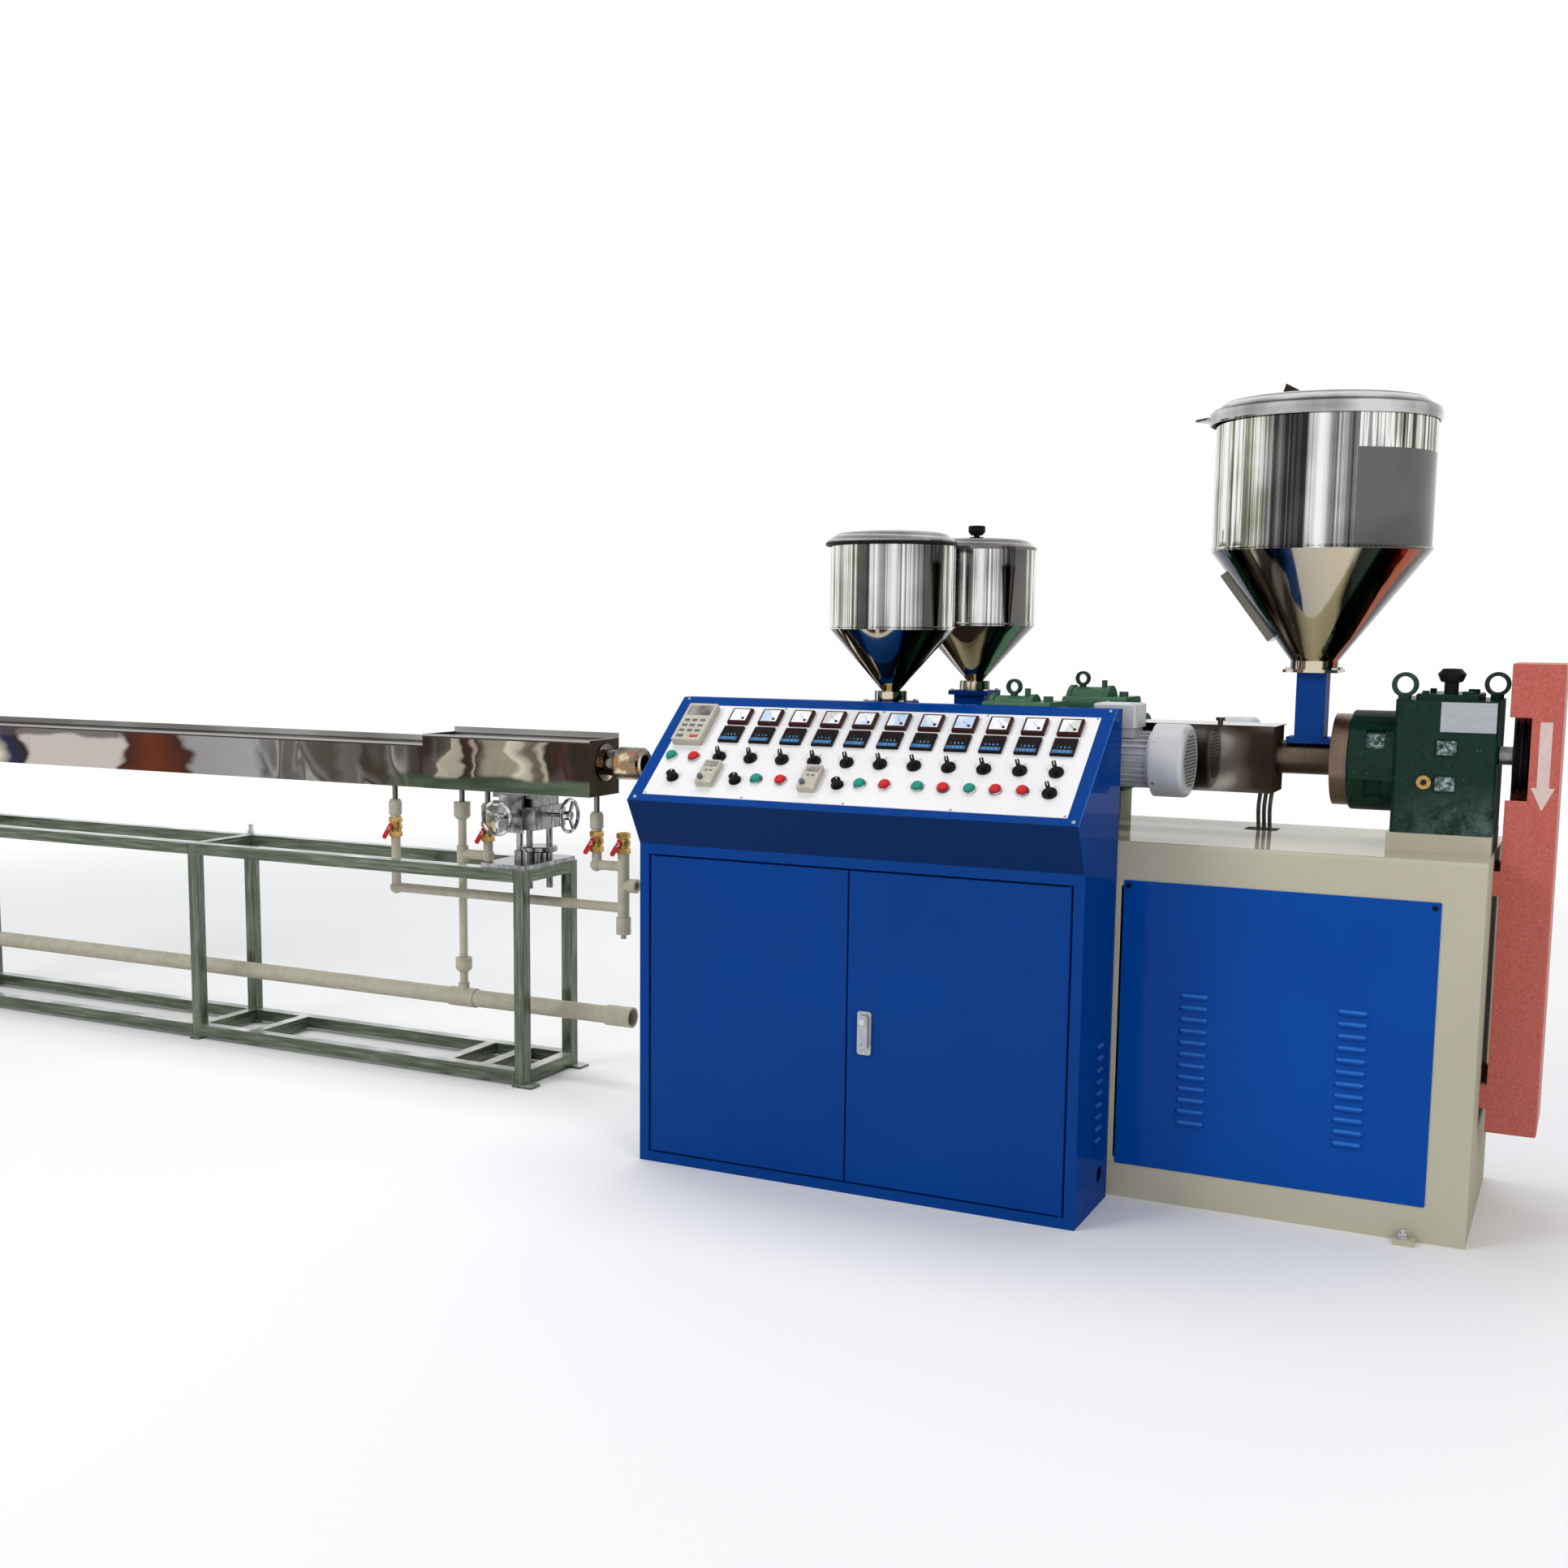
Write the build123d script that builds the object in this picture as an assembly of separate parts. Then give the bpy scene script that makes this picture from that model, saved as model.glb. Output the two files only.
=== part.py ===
import os
from math import atan2, cos, degrees, sin, sqrt

from build123d import *

os.makedirs("parts", exist_ok=True)

# Plastic extruder line, in millimetres with Z up. Layout frame: X runs along the line to the
# right, Y runs from the cabinet doors to the back, and the zero is the cabinet's front left foot.
# Every part is moved at the end so that the whole line stands centred on the origin.

# Control cabinet
CAB_W = 1250.0
CAB_D = 302.0
CAB_H = 1292.0
DOOR_WALL_H = 899.0
DESK_OUT = 73.0
DESK_LIP_Z = 1025.0
DESK_BACK_Y = 253.0
SHEET = 2.0
FRAME_W = 28.0
FRAME_D = 34.0
STOP_W = 14.0
DOOR_GAP = 5.0
DOOR_T = 20.0
PIVOT_R = 5.0
PIN_R = 3.0
PIN_CLEAR = 0.2
PIN_IN = 14.0
HANDLE_OFF = 52.5
HANDLE_Z = 441.0
BRACKET_IN = 100.0

# Base frame
BASE_GAP = 20.0
BASE_FRONT = CAB_D + BASE_GAP
BASE_D = 636.0
BASE_BACK = BASE_FRONT + BASE_D
BASE_X0 = 120.0
BASE_X1 = CAB_W + 881.0
BASE_H = 949.0
TOP_T = 14.0
WALL_T = 8.0
BAND = 112.0
PANEL_T = 2.5
PANEL_X0 = CAB_W + 15.0
PANEL_X1 = BASE_X1 - 97.0
PANEL_Z0 = 91.0
PANEL_Z1 = BASE_H - 101.0
LUG_X = BASE_X1 - 123.0
LUG_OUT = 46.0
LUG_T = 14.0
LOUVRE_W = 72.0
LOUVRE_R = 9.0
LOUVRE_ROWS = 12
LOUVRE_PITCH = (PANEL_Z1 - PANEL_Z0) / 24.9

# Main extruder
AXIS_Y = BASE_FRONT + BASE_D / 2
AXIS_Z = BASE_H + 213.0
BARREL_R = 44.0
GB_X1 = BASE_X1 - 7.0
GB_X0 = GB_X1 - 239.0
GB_D = 280.0
GB_Z0 = BASE_H + 44.0
GB_Z1 = AXIS_Z + 164.0
GB_LID = 14.0
BEARING_X0 = GB_X0 - 113.0
BEARING_R = 129.0
FLANGE_X0 = BEARING_X0 - 42.0
FLANGE_R = 119.0
SHAFT_R = 23.0
SHAFT_Z = AXIS_Z + 24.0
PULLEY_R = 96.0
PULLEY_X0 = BASE_X1 + 26.0
PULLEY_W = 34.0
GUARD_GAP = 16.0
GUARD_X0 = BASE_X1 + GUARD_GAP
GUARD_X1 = BASE_X1 + 135.0
GUARD_FRONT = AXIS_Y - 115.0
GUARD_BACK = AXIS_Y + 135.0
GUARD_Z0 = 245.0
GUARD_Z1 = AXIS_Z + 256.0
HOPPER_X = FLANGE_X0 - 65.0
HOPPER_R = 272.0
HOPPER_SEAT = AXIS_Z + 224.0
HOPPER_CONE = HOPPER_SEAT + 30.0
HOPPER_CYL = HOPPER_CONE + 281.0
HOPPER_RIM = HOPPER_CYL + 341.0
HOPPER_PLATE = 68.0
NECK_R = 60.0
THROAT_W = 74.0
FEED_R = 30.0
LID_R = 284.0
LID_SHIFT = 5.0
COVER_X0 = BASE_X0 + 300.0
COVER_X1 = HOPPER_X - 81.0
COVER_D = 156.0
COVER_UP = 83.0
COVER_DOWN = 94.0
COVER_LIP = 5.0

# Side extruders, set out from the middle of each hopper along X
SIDE_IN = 86.0
SIDE_Y = (BASE_FRONT + SIDE_IN, BASE_BACK - SIDE_IN)
SIDE_X = (CAB_W - 680.0, CAB_W - 595.0)
SIDE_Z = AXIS_Z - 2.0
SIDE_BARREL_R = 32.0
SIDE_HOPPER_R = 172.0
SIDE_SEAT = (SIDE_Z + 130.0, SIDE_Z + 148.0)
SIDE_CYL = (SIDE_Z + 328.0, SIDE_Z + 340.0)
SIDE_RIM = SIDE_Z + 560.0
COLLAR_H = 29.0
COLLAR_R = 45.0
SIDE_NECK_R = 25.0
SIDE_BLOCK = 47.0
SIDE_PLATE = 61.0
SIDE_PLATE_T = 13.0
SIDE_FEED_R = 22.0
SIDE_COVER_W = 116.0
SIDE_COVER_X0 = BASE_X0 + 120.0
QUILL_X0 = 130.0
QUILL_R = 66.0
HOUSE_X0 = 295.0
HOUSE_X1 = 480.0
HOUSE_W = 184.0
HOUSE_Z0 = SIDE_Z - 126.0
HOUSE_Z1 = SIDE_Z + 140.0
HUMP_R = (58.0, 70.0)
MOTOR_X0 = 520.0
MOTOR_X1 = 746.0
MOTOR_Z = SIDE_Z - 3.0
MOTOR_R = 74.0
BOX_LIFT = 66.0
COWL_X1 = 834.0
COWL_R = 95.0
COWL_T = 2.5
DIE_X0 = 30.0
DIE_L = 170.0

# Cooling trough and stand
TUBE = 40.0
STAND_D = 326.0
STAND_H = 710.0
FOOT_T = 8.0
POST_PITCH = 1390.0
POST_END = -725.0
POST_X = (POST_END - 2 * POST_PITCH, POST_END - POST_PITCH, POST_END)
TROUGH_X0 = POST_X[0] - 135.0
BOX_X1 = -500.0
BOX_X0 = BOX_X1 - 648.0
TROUGH_Z = STAND_H + 240.0
TROUGH_W = 170.0
TROUGH_H = 147.0
BOX_W = 182.0
BOX_H = 180.0
BACK_UP = 16.0
LIP = 14.0
INLET_Z = TROUGH_Z + 107.0
INLET_RING_R = 52.0
INLET_X0 = BOX_X1 + 57.0
INLET_X1 = BOX_X1 + 149.0

# Adjuster
PLATE_T = 14.0
PLATE_X1 = POST_END + 21.0
PLATE_X0 = PLATE_X1 - 176.0
SLIDE_Z0 = STAND_H + 122.0
SLIDE_X0 = PLATE_X0 + 8.0
SLIDE_X1 = PLATE_X1 - 2.0
COLUMN_R = 11.0
WHEEL_R = 52.0
RIM_R = 6.0
WHEEL_Z = SLIDE_Z0 + 45.0
WHEEL_X = PLATE_X0 + 88.0
WHEEL_OUT = 180.0
END_WHEEL_X = PLATE_X1 + 72.0

# Pipework
DRAIN_R = 29.0
DRAIN_Y = AXIS_Y + 44.0
DRAIN_Z = 222.0
DRAIN_X1 = BOX_X1 + 80.0
SOCKET_L = 74.0
PIPE_R = 16.0
RISER_R = 14.0
FITTING = 6.0
SUPPLY_Z = STAND_H - 120.0
BRANCH_Z = STAND_H + 8.0
INLET_R = 14.0
VALVE_Z = TROUGH_Z - 150.0
VALVE_R = 19.0
VALVE_H = 34.0
NIPPLE_L = 55.0
X_A = BOX_X0 - 187.0
X_B = BOX_X0 + 60.0
X_C = BOX_X0 + 165.0
X_D = BOX_X1 - 29.0
X_R = BOX_X1 + 71.0
LEVER_L = 46.0
LEVER_TOP = 17.0
LEVER_TURN = 33.0


def block(x0, x1, y0, y1, z0, z1):
    middle = Pos((x0 + x1) / 2, (y0 + y1) / 2, (z0 + z1) / 2)
    return middle * Box(x1 - x0, y1 - y0, z1 - z0)


def rod_x(x0, x1, y, z, r):
    return Pos((x0 + x1) / 2, y, z) * Rot(0, 90, 0) * Cylinder(r, x1 - x0)


def rod_y(y0, y1, x, z, r):
    return Pos(x, (y0 + y1) / 2, z) * Rot(90, 0, 0) * Cylinder(r, y1 - y0)


def rod_z(z0, z1, x, y, r):
    return Pos(x, y, (z0 + z1) / 2) * Cylinder(r, z1 - z0)


def ridge(points, x0, x1):
    # A profile drawn in Y and Z, drawn out along X.
    face = make_face(Plane.YZ * Polyline(*points, close=True))
    return Pos(x0, 0, 0) * extrude(face, x1 - x0, dir=(1, 0, 0))


def turned(points, x, y):
    # A profile drawn as radius and height, turned about the vertical line through x and y.
    face = make_face(Plane.XZ * Polyline(*points, close=True))
    return Pos(x, y, 0) * revolve(face, Axis.Z)


def turned_x(points, y, z):
    # A profile drawn as station and radius, turned about the line through y and z along X.
    face = make_face(Plane.XY * Polyline(*points, close=True))
    return Pos(0, y, z) * revolve(face, Axis.X)


def less(body, cuts):
    for cut in cuts:
        body = body - cut
    return body


parts = {}


# Control cabinet shell. The two sides carry the desk outline; floor, back and door frame close it.
desk = [(0, DOOR_WALL_H), (-DESK_OUT, DESK_LIP_Z), (DESK_BACK_Y, CAB_H), (CAB_D, CAB_H)]
outline = [(0, 0)] + desk + [(CAB_D, 0)]
left_side = ridge(outline, 0, SHEET)
right_side = ridge(outline, CAB_W - SHEET, CAB_W)
for row in range(9):
    z = 182 + row * 31
    vent = rod_y(155, 205, CAB_W, z, 8)
    vent = vent & block(CAB_W - SHEET / 2, CAB_W + 20, 100, 260, z - 30, z + 30)
    right_side = right_side + vent
right_side = right_side - rod_x(CAB_W - 20, CAB_W + 20, 226, 82, 22)
parts["cabinet_sides"] = [left_side, right_side]
inner_x0 = SHEET
inner_x1 = CAB_W - SHEET
parts["cabinet_floor"] = [block(inner_x0, inner_x1, FRAME_D, CAB_D - SHEET, 0, 3)]
back = block(inner_x0, inner_x1, CAB_D - SHEET, CAB_D, 0, CAB_H - SHEET)
for z in (60, BASE_H - 80):
    back = back + block(CAB_W - BRACKET_IN, CAB_W - 15, CAB_D, BASE_FRONT, z - 20, z + 20)
parts["cabinet_back"] = [back]

# Door frame: two stiles and two rails, each folded with a stop lip behind the doors. The rails
# hold the pivot pins that the doors turn on.
stop_y0 = DOOR_T + DOOR_GAP
door_z0 = FRAME_W + DOOR_GAP
door_z1 = DOOR_WALL_H - FRAME_W - DOOR_GAP
door_x0 = FRAME_W + DOOR_GAP
door_x1 = CAB_W - FRAME_W - DOOR_GAP
door_mid = CAB_W / 2
stiles = []
for side in (0, 1):
    stile = block(inner_x0, FRAME_W, 0, stop_y0, 0, DOOR_WALL_H - SHEET)
    stile = stile + block(inner_x0, FRAME_W + STOP_W, stop_y0, FRAME_D, 0, DOOR_WALL_H - SHEET)
    if side:
        stile = mirror(stile, Plane.YZ.offset(door_mid))
    stiles.append(stile)
head = block(FRAME_W, CAB_W - FRAME_W, 0, stop_y0, DOOR_WALL_H - FRAME_W, DOOR_WALL_H - SHEET)
head = head + block(FRAME_W + STOP_W, CAB_W - FRAME_W - STOP_W, stop_y0, FRAME_D,
                    DOOR_WALL_H - FRAME_W - STOP_W, DOOR_WALL_H - SHEET)
sill = block(FRAME_W, CAB_W - FRAME_W, 0, stop_y0, 0, FRAME_W)
sill = sill + block(FRAME_W + STOP_W, CAB_W - FRAME_W - STOP_W, stop_y0, FRAME_D, 0, FRAME_W + STOP_W)
pivot_y = PIVOT_R
pivot_xs = (door_x0 + PIVOT_R, door_x1 - PIVOT_R)
for px in pivot_xs:
    head = head + rod_z(door_z1 - PIN_IN, DOOR_WALL_H - FRAME_W, px, pivot_y, PIN_R)
    sill = sill + rod_z(FRAME_W, door_z0 + PIN_IN, px, pivot_y, PIN_R)
    sill = sill + rod_z(FRAME_W, door_z0 - 0.3, px, pivot_y, PIVOT_R - 0.5)
parts["door_frame"] = stiles + [head, sill]

# Doors: folded steel pans with a rolled hinge edge round the pivot line.
pans = []
for side in (0, 1):
    free = door_mid - DOOR_GAP / 2
    pan = block(door_x0 + PIVOT_R, free, 0, DOOR_T, door_z0, door_z1)
    pan = pan - block(door_x0 + 16, free - SHEET, SHEET, DOOR_T + 1, door_z0 + SHEET, door_z1 - SHEET)
    pan = pan - block(door_x0, door_x0 + 14, 2 * PIVOT_R, DOOR_T + 1, door_z0 - 1, door_z1 + 1)
    pan = pan + rod_z(door_z0, door_z1, door_x0 + PIVOT_R, pivot_y, PIVOT_R)
    for z in (door_z0, door_z1):
        pan = pan - rod_z(z - PIN_IN - 1, z + PIN_IN + 1, door_x0 + PIVOT_R, pivot_y, PIN_R + PIN_CLEAR)
    if side:
        pan = mirror(pan, Plane.YZ.offset(door_mid))
    pans.append(pan)
parts["left_door"] = [pans[0]]
parts["right_door"] = [pans[1]]
handle_x = door_mid + HANDLE_OFF
handle = block(handle_x - 19.5, handle_x + 19.5, -6, 0, HANDLE_Z - 58, HANDLE_Z + 58)
handle = fillet(handle.edges().filter_by(Axis.Y), 8)
grip = block(handle_x - 13.5, handle_x + 13.5, -18, -6, HANDLE_Z - 41, HANDLE_Z + 49)
grip = fillet(grip.edges().filter_by(Axis.Y), 9)
handle = handle + grip
handle = handle - rod_y(-30, -15, handle_x, HANDLE_Z - 27, 5)
parts["door_handle"] = [handle]

# Desk console: one bent sheet for the underside, the slope and the top.
slope = atan2(CAB_H - DESK_LIP_Z, DESK_BACK_Y + DESK_OUT)
slope_len = sqrt((CAB_H - DESK_LIP_Z) ** 2 + (DESK_BACK_Y + DESK_OUT) ** 2)


def shift_in(p, q):
    # The line from p to q moved one sheet thickness towards the inside of the desk.
    dy = q[0] - p[0]
    dz = q[1] - p[1]
    length = sqrt(dy * dy + dz * dz)
    ny = dz / length * SHEET
    nz = -dy / length * SHEET
    return (p[0] + ny, p[1] + nz), (q[0] + ny, q[1] + nz)


def crossing(a, b):
    (y1, z1), (y2, z2) = a
    (y3, z3), (y4, z4) = b
    d = (y1 - y2) * (z3 - z4) - (z1 - z2) * (y3 - y4)
    m = y1 * z2 - z1 * y2
    n = y3 * z4 - z3 * y4
    return ((m * (y3 - y4) - (y1 - y2) * n) / d, (m * (z3 - z4) - (z1 - z2) * n) / d)


walls_in = [shift_in(desk[i], desk[i + 1]) for i in range(3)]
inside = [walls_in[0][0], crossing(walls_in[0], walls_in[1]), crossing(walls_in[1], walls_in[2]),
          (CAB_D, CAB_H - SHEET)]
foot_in = crossing(walls_in[0], ((0, DOOR_WALL_H), (100, DOOR_WALL_H)))
shell = ridge(desk + [inside[3], inside[2], inside[1], foot_in], inner_x0, inner_x1)
tie = block(inner_x0, inner_x1, 0, FRAME_D, DOOR_WALL_H - SHEET, DOOR_WALL_H)
parts["console_shell"] = [shell + tie]

# Control panel and its instruments, set out on the slope with x across and v up the slope.
desk_plane = Plane(origin=(0, -DESK_OUT, DESK_LIP_Z), x_dir=(1, 0, 0),
                   z_dir=(0, -sin(slope), cos(slope)))


# The set-out below is for a cabinet 1250 wide with a slope of 421.4, and follows other sizes.
ACROSS = CAB_W / 1250.0
UPSLOPE = slope_len / 421.4


def on_desk(x, v, solid, lift=SHEET):
    return desk_plane * Pos(x * ACROSS, v * UPSLOPE, lift) * solid


def seat_box(w, h, t):
    return Pos(0, 0, t / 2) * Box(w, h, t)


def seat_rod(r, t):
    return Pos(0, 0, t / 2) * Cylinder(r, t)


parts["control_panel"] = [on_desk((38.5 + 1216) / 2, (25 + 386) / 2, seat_box(1177.5 * ACROSS, 361 * UPSLOPE, SHEET), 0)]
meters = []
controllers = []
for i in range(11):
    meter = seat_box(60, 58, 12)
    meter = chamfer(meter.faces().sort_by(Axis.Z)[-1].edges(), 2)
    meters.append(on_desk(214.5 + 93.5 * i, 339, meter))
    unit = seat_box(60, 60, 9)
    unit = chamfer(unit.faces().sort_by(Axis.Z)[-1].edges(), 1.5)
    controllers.append(on_desk(213 + 93.6 * i, 267.5, unit))
parts["panel_meters"] = meters
parts["temperature_controllers"] = controllers
knobs = []
switch_spots = [(211.8 + 93.9 * i, 178) for i in range(11)] + [(1152, 104)]
for x, v in switch_spots:
    base = seat_rod(19, 5)
    grip = Pos(0, 6, 5) * seat_box(11, 36, 17)
    grip = Rot(0, 0, 24) * fillet(grip.edges().filter_by(Axis.Z), 4)
    knobs.append(on_desk(x, v, base + grip))
for x, v in ((103.5, 92), (293.3, 92), (589.3, 95)):
    dial = seat_rod(17, 4) + Pos(0, 0, 4) * seat_rod(13, 16)
    knobs.append(on_desk(x, v, dial))
parts["rotary_knobs"] = knobs
green = ((65.6, 175), (353.3, 100), (649.4, 102), (808, 103), (946, 104))
red = ((135, 174), (423.9, 100), (718.6, 103), (876.4, 103), (1013.5, 106), (1082.7, 107))


def button():
    cap = Pos(0, 0, 4) * seat_rod(14.2, 9)
    cap = chamfer(cap.faces().sort_by(Axis.Z)[-1].edges(), 3)
    return seat_rod(16.5, 4) + cap


parts["start_buttons"] = [on_desk(x, v, button()) for x, v in green]
parts["stop_buttons"] = [on_desk(x, v, button()) for x, v in red]
keypad = seat_box(91, 151, 22)
keypad = fillet(keypad.edges().filter_by(Axis.Z), 5)
keypad = chamfer(keypad.faces().sort_by(Axis.Z)[-1].edges(), 2)
drives = [on_desk(93.5, 295.5, keypad)]
for x in (211, 511):
    drive = seat_box(49, 88, 18)
    drive = fillet(drive.edges().filter_by(Axis.Z), 3)
    drives.append(on_desk(x, 106, drive))
parts["drive_units"] = drives

# Base frame: folded end frames, channel rails with foot lugs, top plate with its plinths.
plate_z = BASE_H - TOP_T
ends = []
for side in (0, 1):
    wall = block(BASE_X0, BASE_X0 + WALL_T, BASE_FRONT, BASE_BACK, 0, plate_z)
    wall = wall + block(BASE_X0, BASE_X0 + BAND, BASE_FRONT, BASE_FRONT + WALL_T, 0, plate_z)
    wall = wall + block(BASE_X0, BASE_X0 + BAND, BASE_BACK - WALL_T, BASE_BACK, 0, plate_z)
    if side:
        wall = mirror(wall, Plane.YZ.offset((BASE_X0 + BASE_X1) / 2))
    ends.append(wall)
parts["base_end_frames"] = ends
rail_x0 = BASE_X0 + BAND
rail_x1 = BASE_X1 - BAND
rails = []
for side in (0, 1):
    for z0, z1 in ((0, PANEL_Z0 + 15), (PANEL_Z1 - 15, plate_z)):
        rail = block(rail_x0, rail_x1, BASE_FRONT, BASE_FRONT + 60, z0, z1)
        rail = rail - block(rail_x0 - 1, rail_x1 + 1, BASE_FRONT + WALL_T, BASE_FRONT + 61,
                            z0 + WALL_T, z1 - WALL_T)
        if z0 == 0:
            lug = block(LUG_X - 38, LUG_X + 11, BASE_FRONT - LUG_OUT, BASE_FRONT, 0, LUG_T)
            rail = rail + lug
        if side:
            rail = mirror(rail, Plane.XZ.offset(-AXIS_Y))
        rails.append(rail)
parts["base_rails"] = rails
top = block(BASE_X0, BASE_X1, BASE_FRONT, BASE_BACK, plate_z, BASE_H)
top = fillet(top.faces().sort_by(Axis.Z)[-1].edges().filter_by(Axis.X), 10)
top = top + block(GB_X0 - 6, GB_X1, AXIS_Y - GB_D / 2 - 6, AXIS_Y + GB_D / 2 + 6, BASE_H, GB_Z0)
for hx, y in zip(SIDE_X, SIDE_Y):
    stand = block(hx + HOUSE_X0 + 15, hx + HOUSE_X1 - 10, y - 62, y + 62, BASE_H, HOUSE_Z0)
    stand = stand - block(hx + HOUSE_X0 + 35, hx + HOUSE_X1 - 30, y - 70, y + 70, BASE_H, HOUSE_Z0 - TOP_T)
    top = top + stand
slot = block(COVER_X1 - 104, COVER_X1 - 14, AXIS_Y + 110, AXIS_Y + 190, plate_z - 1, BASE_H + 1)
slot = fillet(slot.edges().filter_by(Axis.Z), 12)
top = top - slot
leg_x = COVER_X0 + 95
leg_top = AXIS_Z - COVER_DOWN
support = block(leg_x - 45, leg_x + 45, AXIS_Y - 70, AXIS_Y + 70, BASE_H, leg_top)
support = support - block(leg_x - 30, leg_x + 30, AXIS_Y - 80, AXIS_Y + 80, BASE_H, leg_top - TOP_T)
top = top + support
parts["base_top_plate"] = [top]


def louvred(x0, x1, y, columns):
    panel = block(x0, x1, y, y + PANEL_T, PANEL_Z0, PANEL_Z1)
    panel = fillet(panel.edges().filter_by(Axis.Y), 4)
    for cx in columns:
        for row in range(LOUVRE_ROWS):
            z = PANEL_Z0 + 130 + row * LOUVRE_PITCH
            half = LOUVRE_W / 2 - LOUVRE_R
            hood = rod_x(cx - half, cx + half, y, z, LOUVRE_R)
            hood = hood + Pos(cx - half, y, z) * Sphere(LOUVRE_R)
            hood = hood + Pos(cx + half, y, z) * Sphere(LOUVRE_R)
            hood = hood & block(cx - 60, cx + 60, y - 20, y + PANEL_T / 2, z - 3, z + 20)
            panel = panel + hood
    return panel


front_panel = louvred(PANEL_X0, PANEL_X1, BASE_FRONT - PANEL_T, (PANEL_X0 + 192, PANEL_X1 - 189))
rear_panel = mirror(front_panel, Plane.XZ.offset(-AXIS_Y))
plain = block(BASE_X0 + 97, PANEL_X0 - 8, BASE_BACK, BASE_BACK + PANEL_T, PANEL_Z0, PANEL_Z1)
parts["base_panels"] = [front_panel, rear_panel, plain]

# Gearbox: ribbed green casting with a lid, bearing housing, eyes, breather and oil plug.
gb_y0 = AXIS_Y - GB_D / 2
gb_y1 = AXIS_Y + GB_D / 2
case = block(GB_X0, GB_X1, gb_y0, gb_y1, GB_Z0, GB_Z1)
case = fillet(case.edges().filter_by(Axis.Z), 14)
windows = []
for y in (gb_y0, gb_y1):
    for up in (24, -66):
        pocket = block(GB_X1 - 143, GB_X1 - 87, y - 10, y + 10, AXIS_Z + up, AXIS_Z + up + 45)
        windows.append(fillet(pocket.edges().filter_by(Axis.Y), 10))
case = less(case, windows)
case = case - rod_x(GB_X1 - 40, GB_X1 + 1, AXIS_Y, SHAFT_Z, SHAFT_R + PIN_CLEAR)
parts["gearbox_case"] = [case]
lid = block(GB_X0 + 44, GB_X1 - 47, gb_y0 + 22, gb_y1 - 22, GB_Z1, GB_Z1 + GB_LID)
lid = fillet(lid.edges().filter_by(Axis.Z), 12)
lid = chamfer(lid.faces().sort_by(Axis.Z)[-1].edges(), 3)
parts["gearbox_lid"] = [lid]
bearing = rod_x(BEARING_X0, GB_X0, AXIS_Y, AXIS_Z, BEARING_R)
bearing = chamfer(bearing.faces().sort_by(Axis.X)[0].edges(), 4)
for turn in (62, 122, 238, 298):
    pocket = Pos(BEARING_X0 + 66, AXIS_Y, AXIS_Z) * Rot(turn, 0, 0) * Pos(0, 0, BEARING_R + 2) * Box(46, 56, 28)
    bearing = bearing - pocket
parts["bearing_housing"] = [bearing]
def eye_of(x, y, low, middle, outer, inner, half):
    # A lifting eye: a short length of pipe along Y on a round foot.
    pipe = rod_y(y - half, y + half, x, middle, outer)
    pipe = chamfer(pipe.edges(), 2)
    foot = rod_z(low, middle - inner - 2, x, y, half + 1)
    return (pipe + foot) - rod_y(y - half - 20, y + half + 20, x, middle, inner)


eyes = []
for x, y in ((GB_X0 + 17, gb_y0 + 40), (GB_X1 - 20, gb_y1 - 40)):
    eyes.append(eye_of(x, y, GB_Z1, GB_Z1 + 36, 31, 21, 15))
for hx, y, hump in zip(SIDE_X, SIDE_Y, HUMP_R):
    x = hx + HOUSE_X0 + (62 if hump == HUMP_R[0] else 36)
    top_z = HOUSE_Z1 - 44 + hump
    ring = eye_of(x, y, top_z - 6, top_z + 24, 21, 13, 9)
    eyes.append(ring - rod_x(x - 30, x + 30, y, HOUSE_Z1 - 44, hump))
parts["lifting_eyes"] = eyes
cap_x = GB_X1 - 116
cap_y = AXIS_Y - 80
cap_z = GB_Z1 + GB_LID
parts["breather_cap"] = [turned([(0, cap_z), (17, cap_z), (17, cap_z + 29), (26, cap_z + 31), (34, cap_z + 50),
                                 (22, cap_z + 63), (0, cap_z + 64)], cap_x, cap_y)]
plug_x = GB_X1 - 163
plug_z = AXIS_Z - 40
plug = rod_y(gb_y0 - 10, gb_y0, plug_x, plug_z, 17) - rod_y(gb_y0 - 11, gb_y0 - 4, plug_x, plug_z, 9)
parts["oil_plug"] = [plug]

# Screw barrel with its mounting flange, feed throat and hopper.
barrel = rod_x(DIE_X0 + DIE_L, FLANGE_X0, AXIS_Y, AXIS_Z, BARREL_R)
barrel = barrel + rod_x(FLANGE_X0, BEARING_X0, AXIS_Y, AXIS_Z, FLANGE_R)
saddle_z = AXIS_Z + BARREL_R - 5
throat = block(HOPPER_X - 57, HOPPER_X + 57, AXIS_Y - 40, AXIS_Y + 40, saddle_z, saddle_z + 16)
throat = throat + block(HOPPER_X - THROAT_W / 2, HOPPER_X + THROAT_W / 2, AXIS_Y - THROAT_W / 2,
                        AXIS_Y + THROAT_W / 2, saddle_z, HOPPER_SEAT)
throat = throat - rod_x(HOPPER_X - 60, HOPPER_X + 60, AXIS_Y, AXIS_Z, BARREL_R)
throat = throat - rod_z(saddle_z + 20, HOPPER_SEAT + 1, HOPPER_X, AXIS_Y, FEED_R)


def drum_of(x, y, r, rim, cyl, wall=SHEET):
    shell = turned([(r, cyl), (r, rim), (r - wall, rim), (r - wall, cyl)], x, y)
    bead = Pos(x, y, cyl + 6) * Torus(r, 3)
    return shell + (bead - rod_z(cyl - 10, cyl + 20, x, y, r - 1))


def cone_of(x, y, r, cyl, cone, neck, wall=SHEET):
    return turned([(neck, cone), (r, cyl), (r - wall, cyl), (neck - wall, cone + 1), (neck - wall, cone)], x, y)


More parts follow.
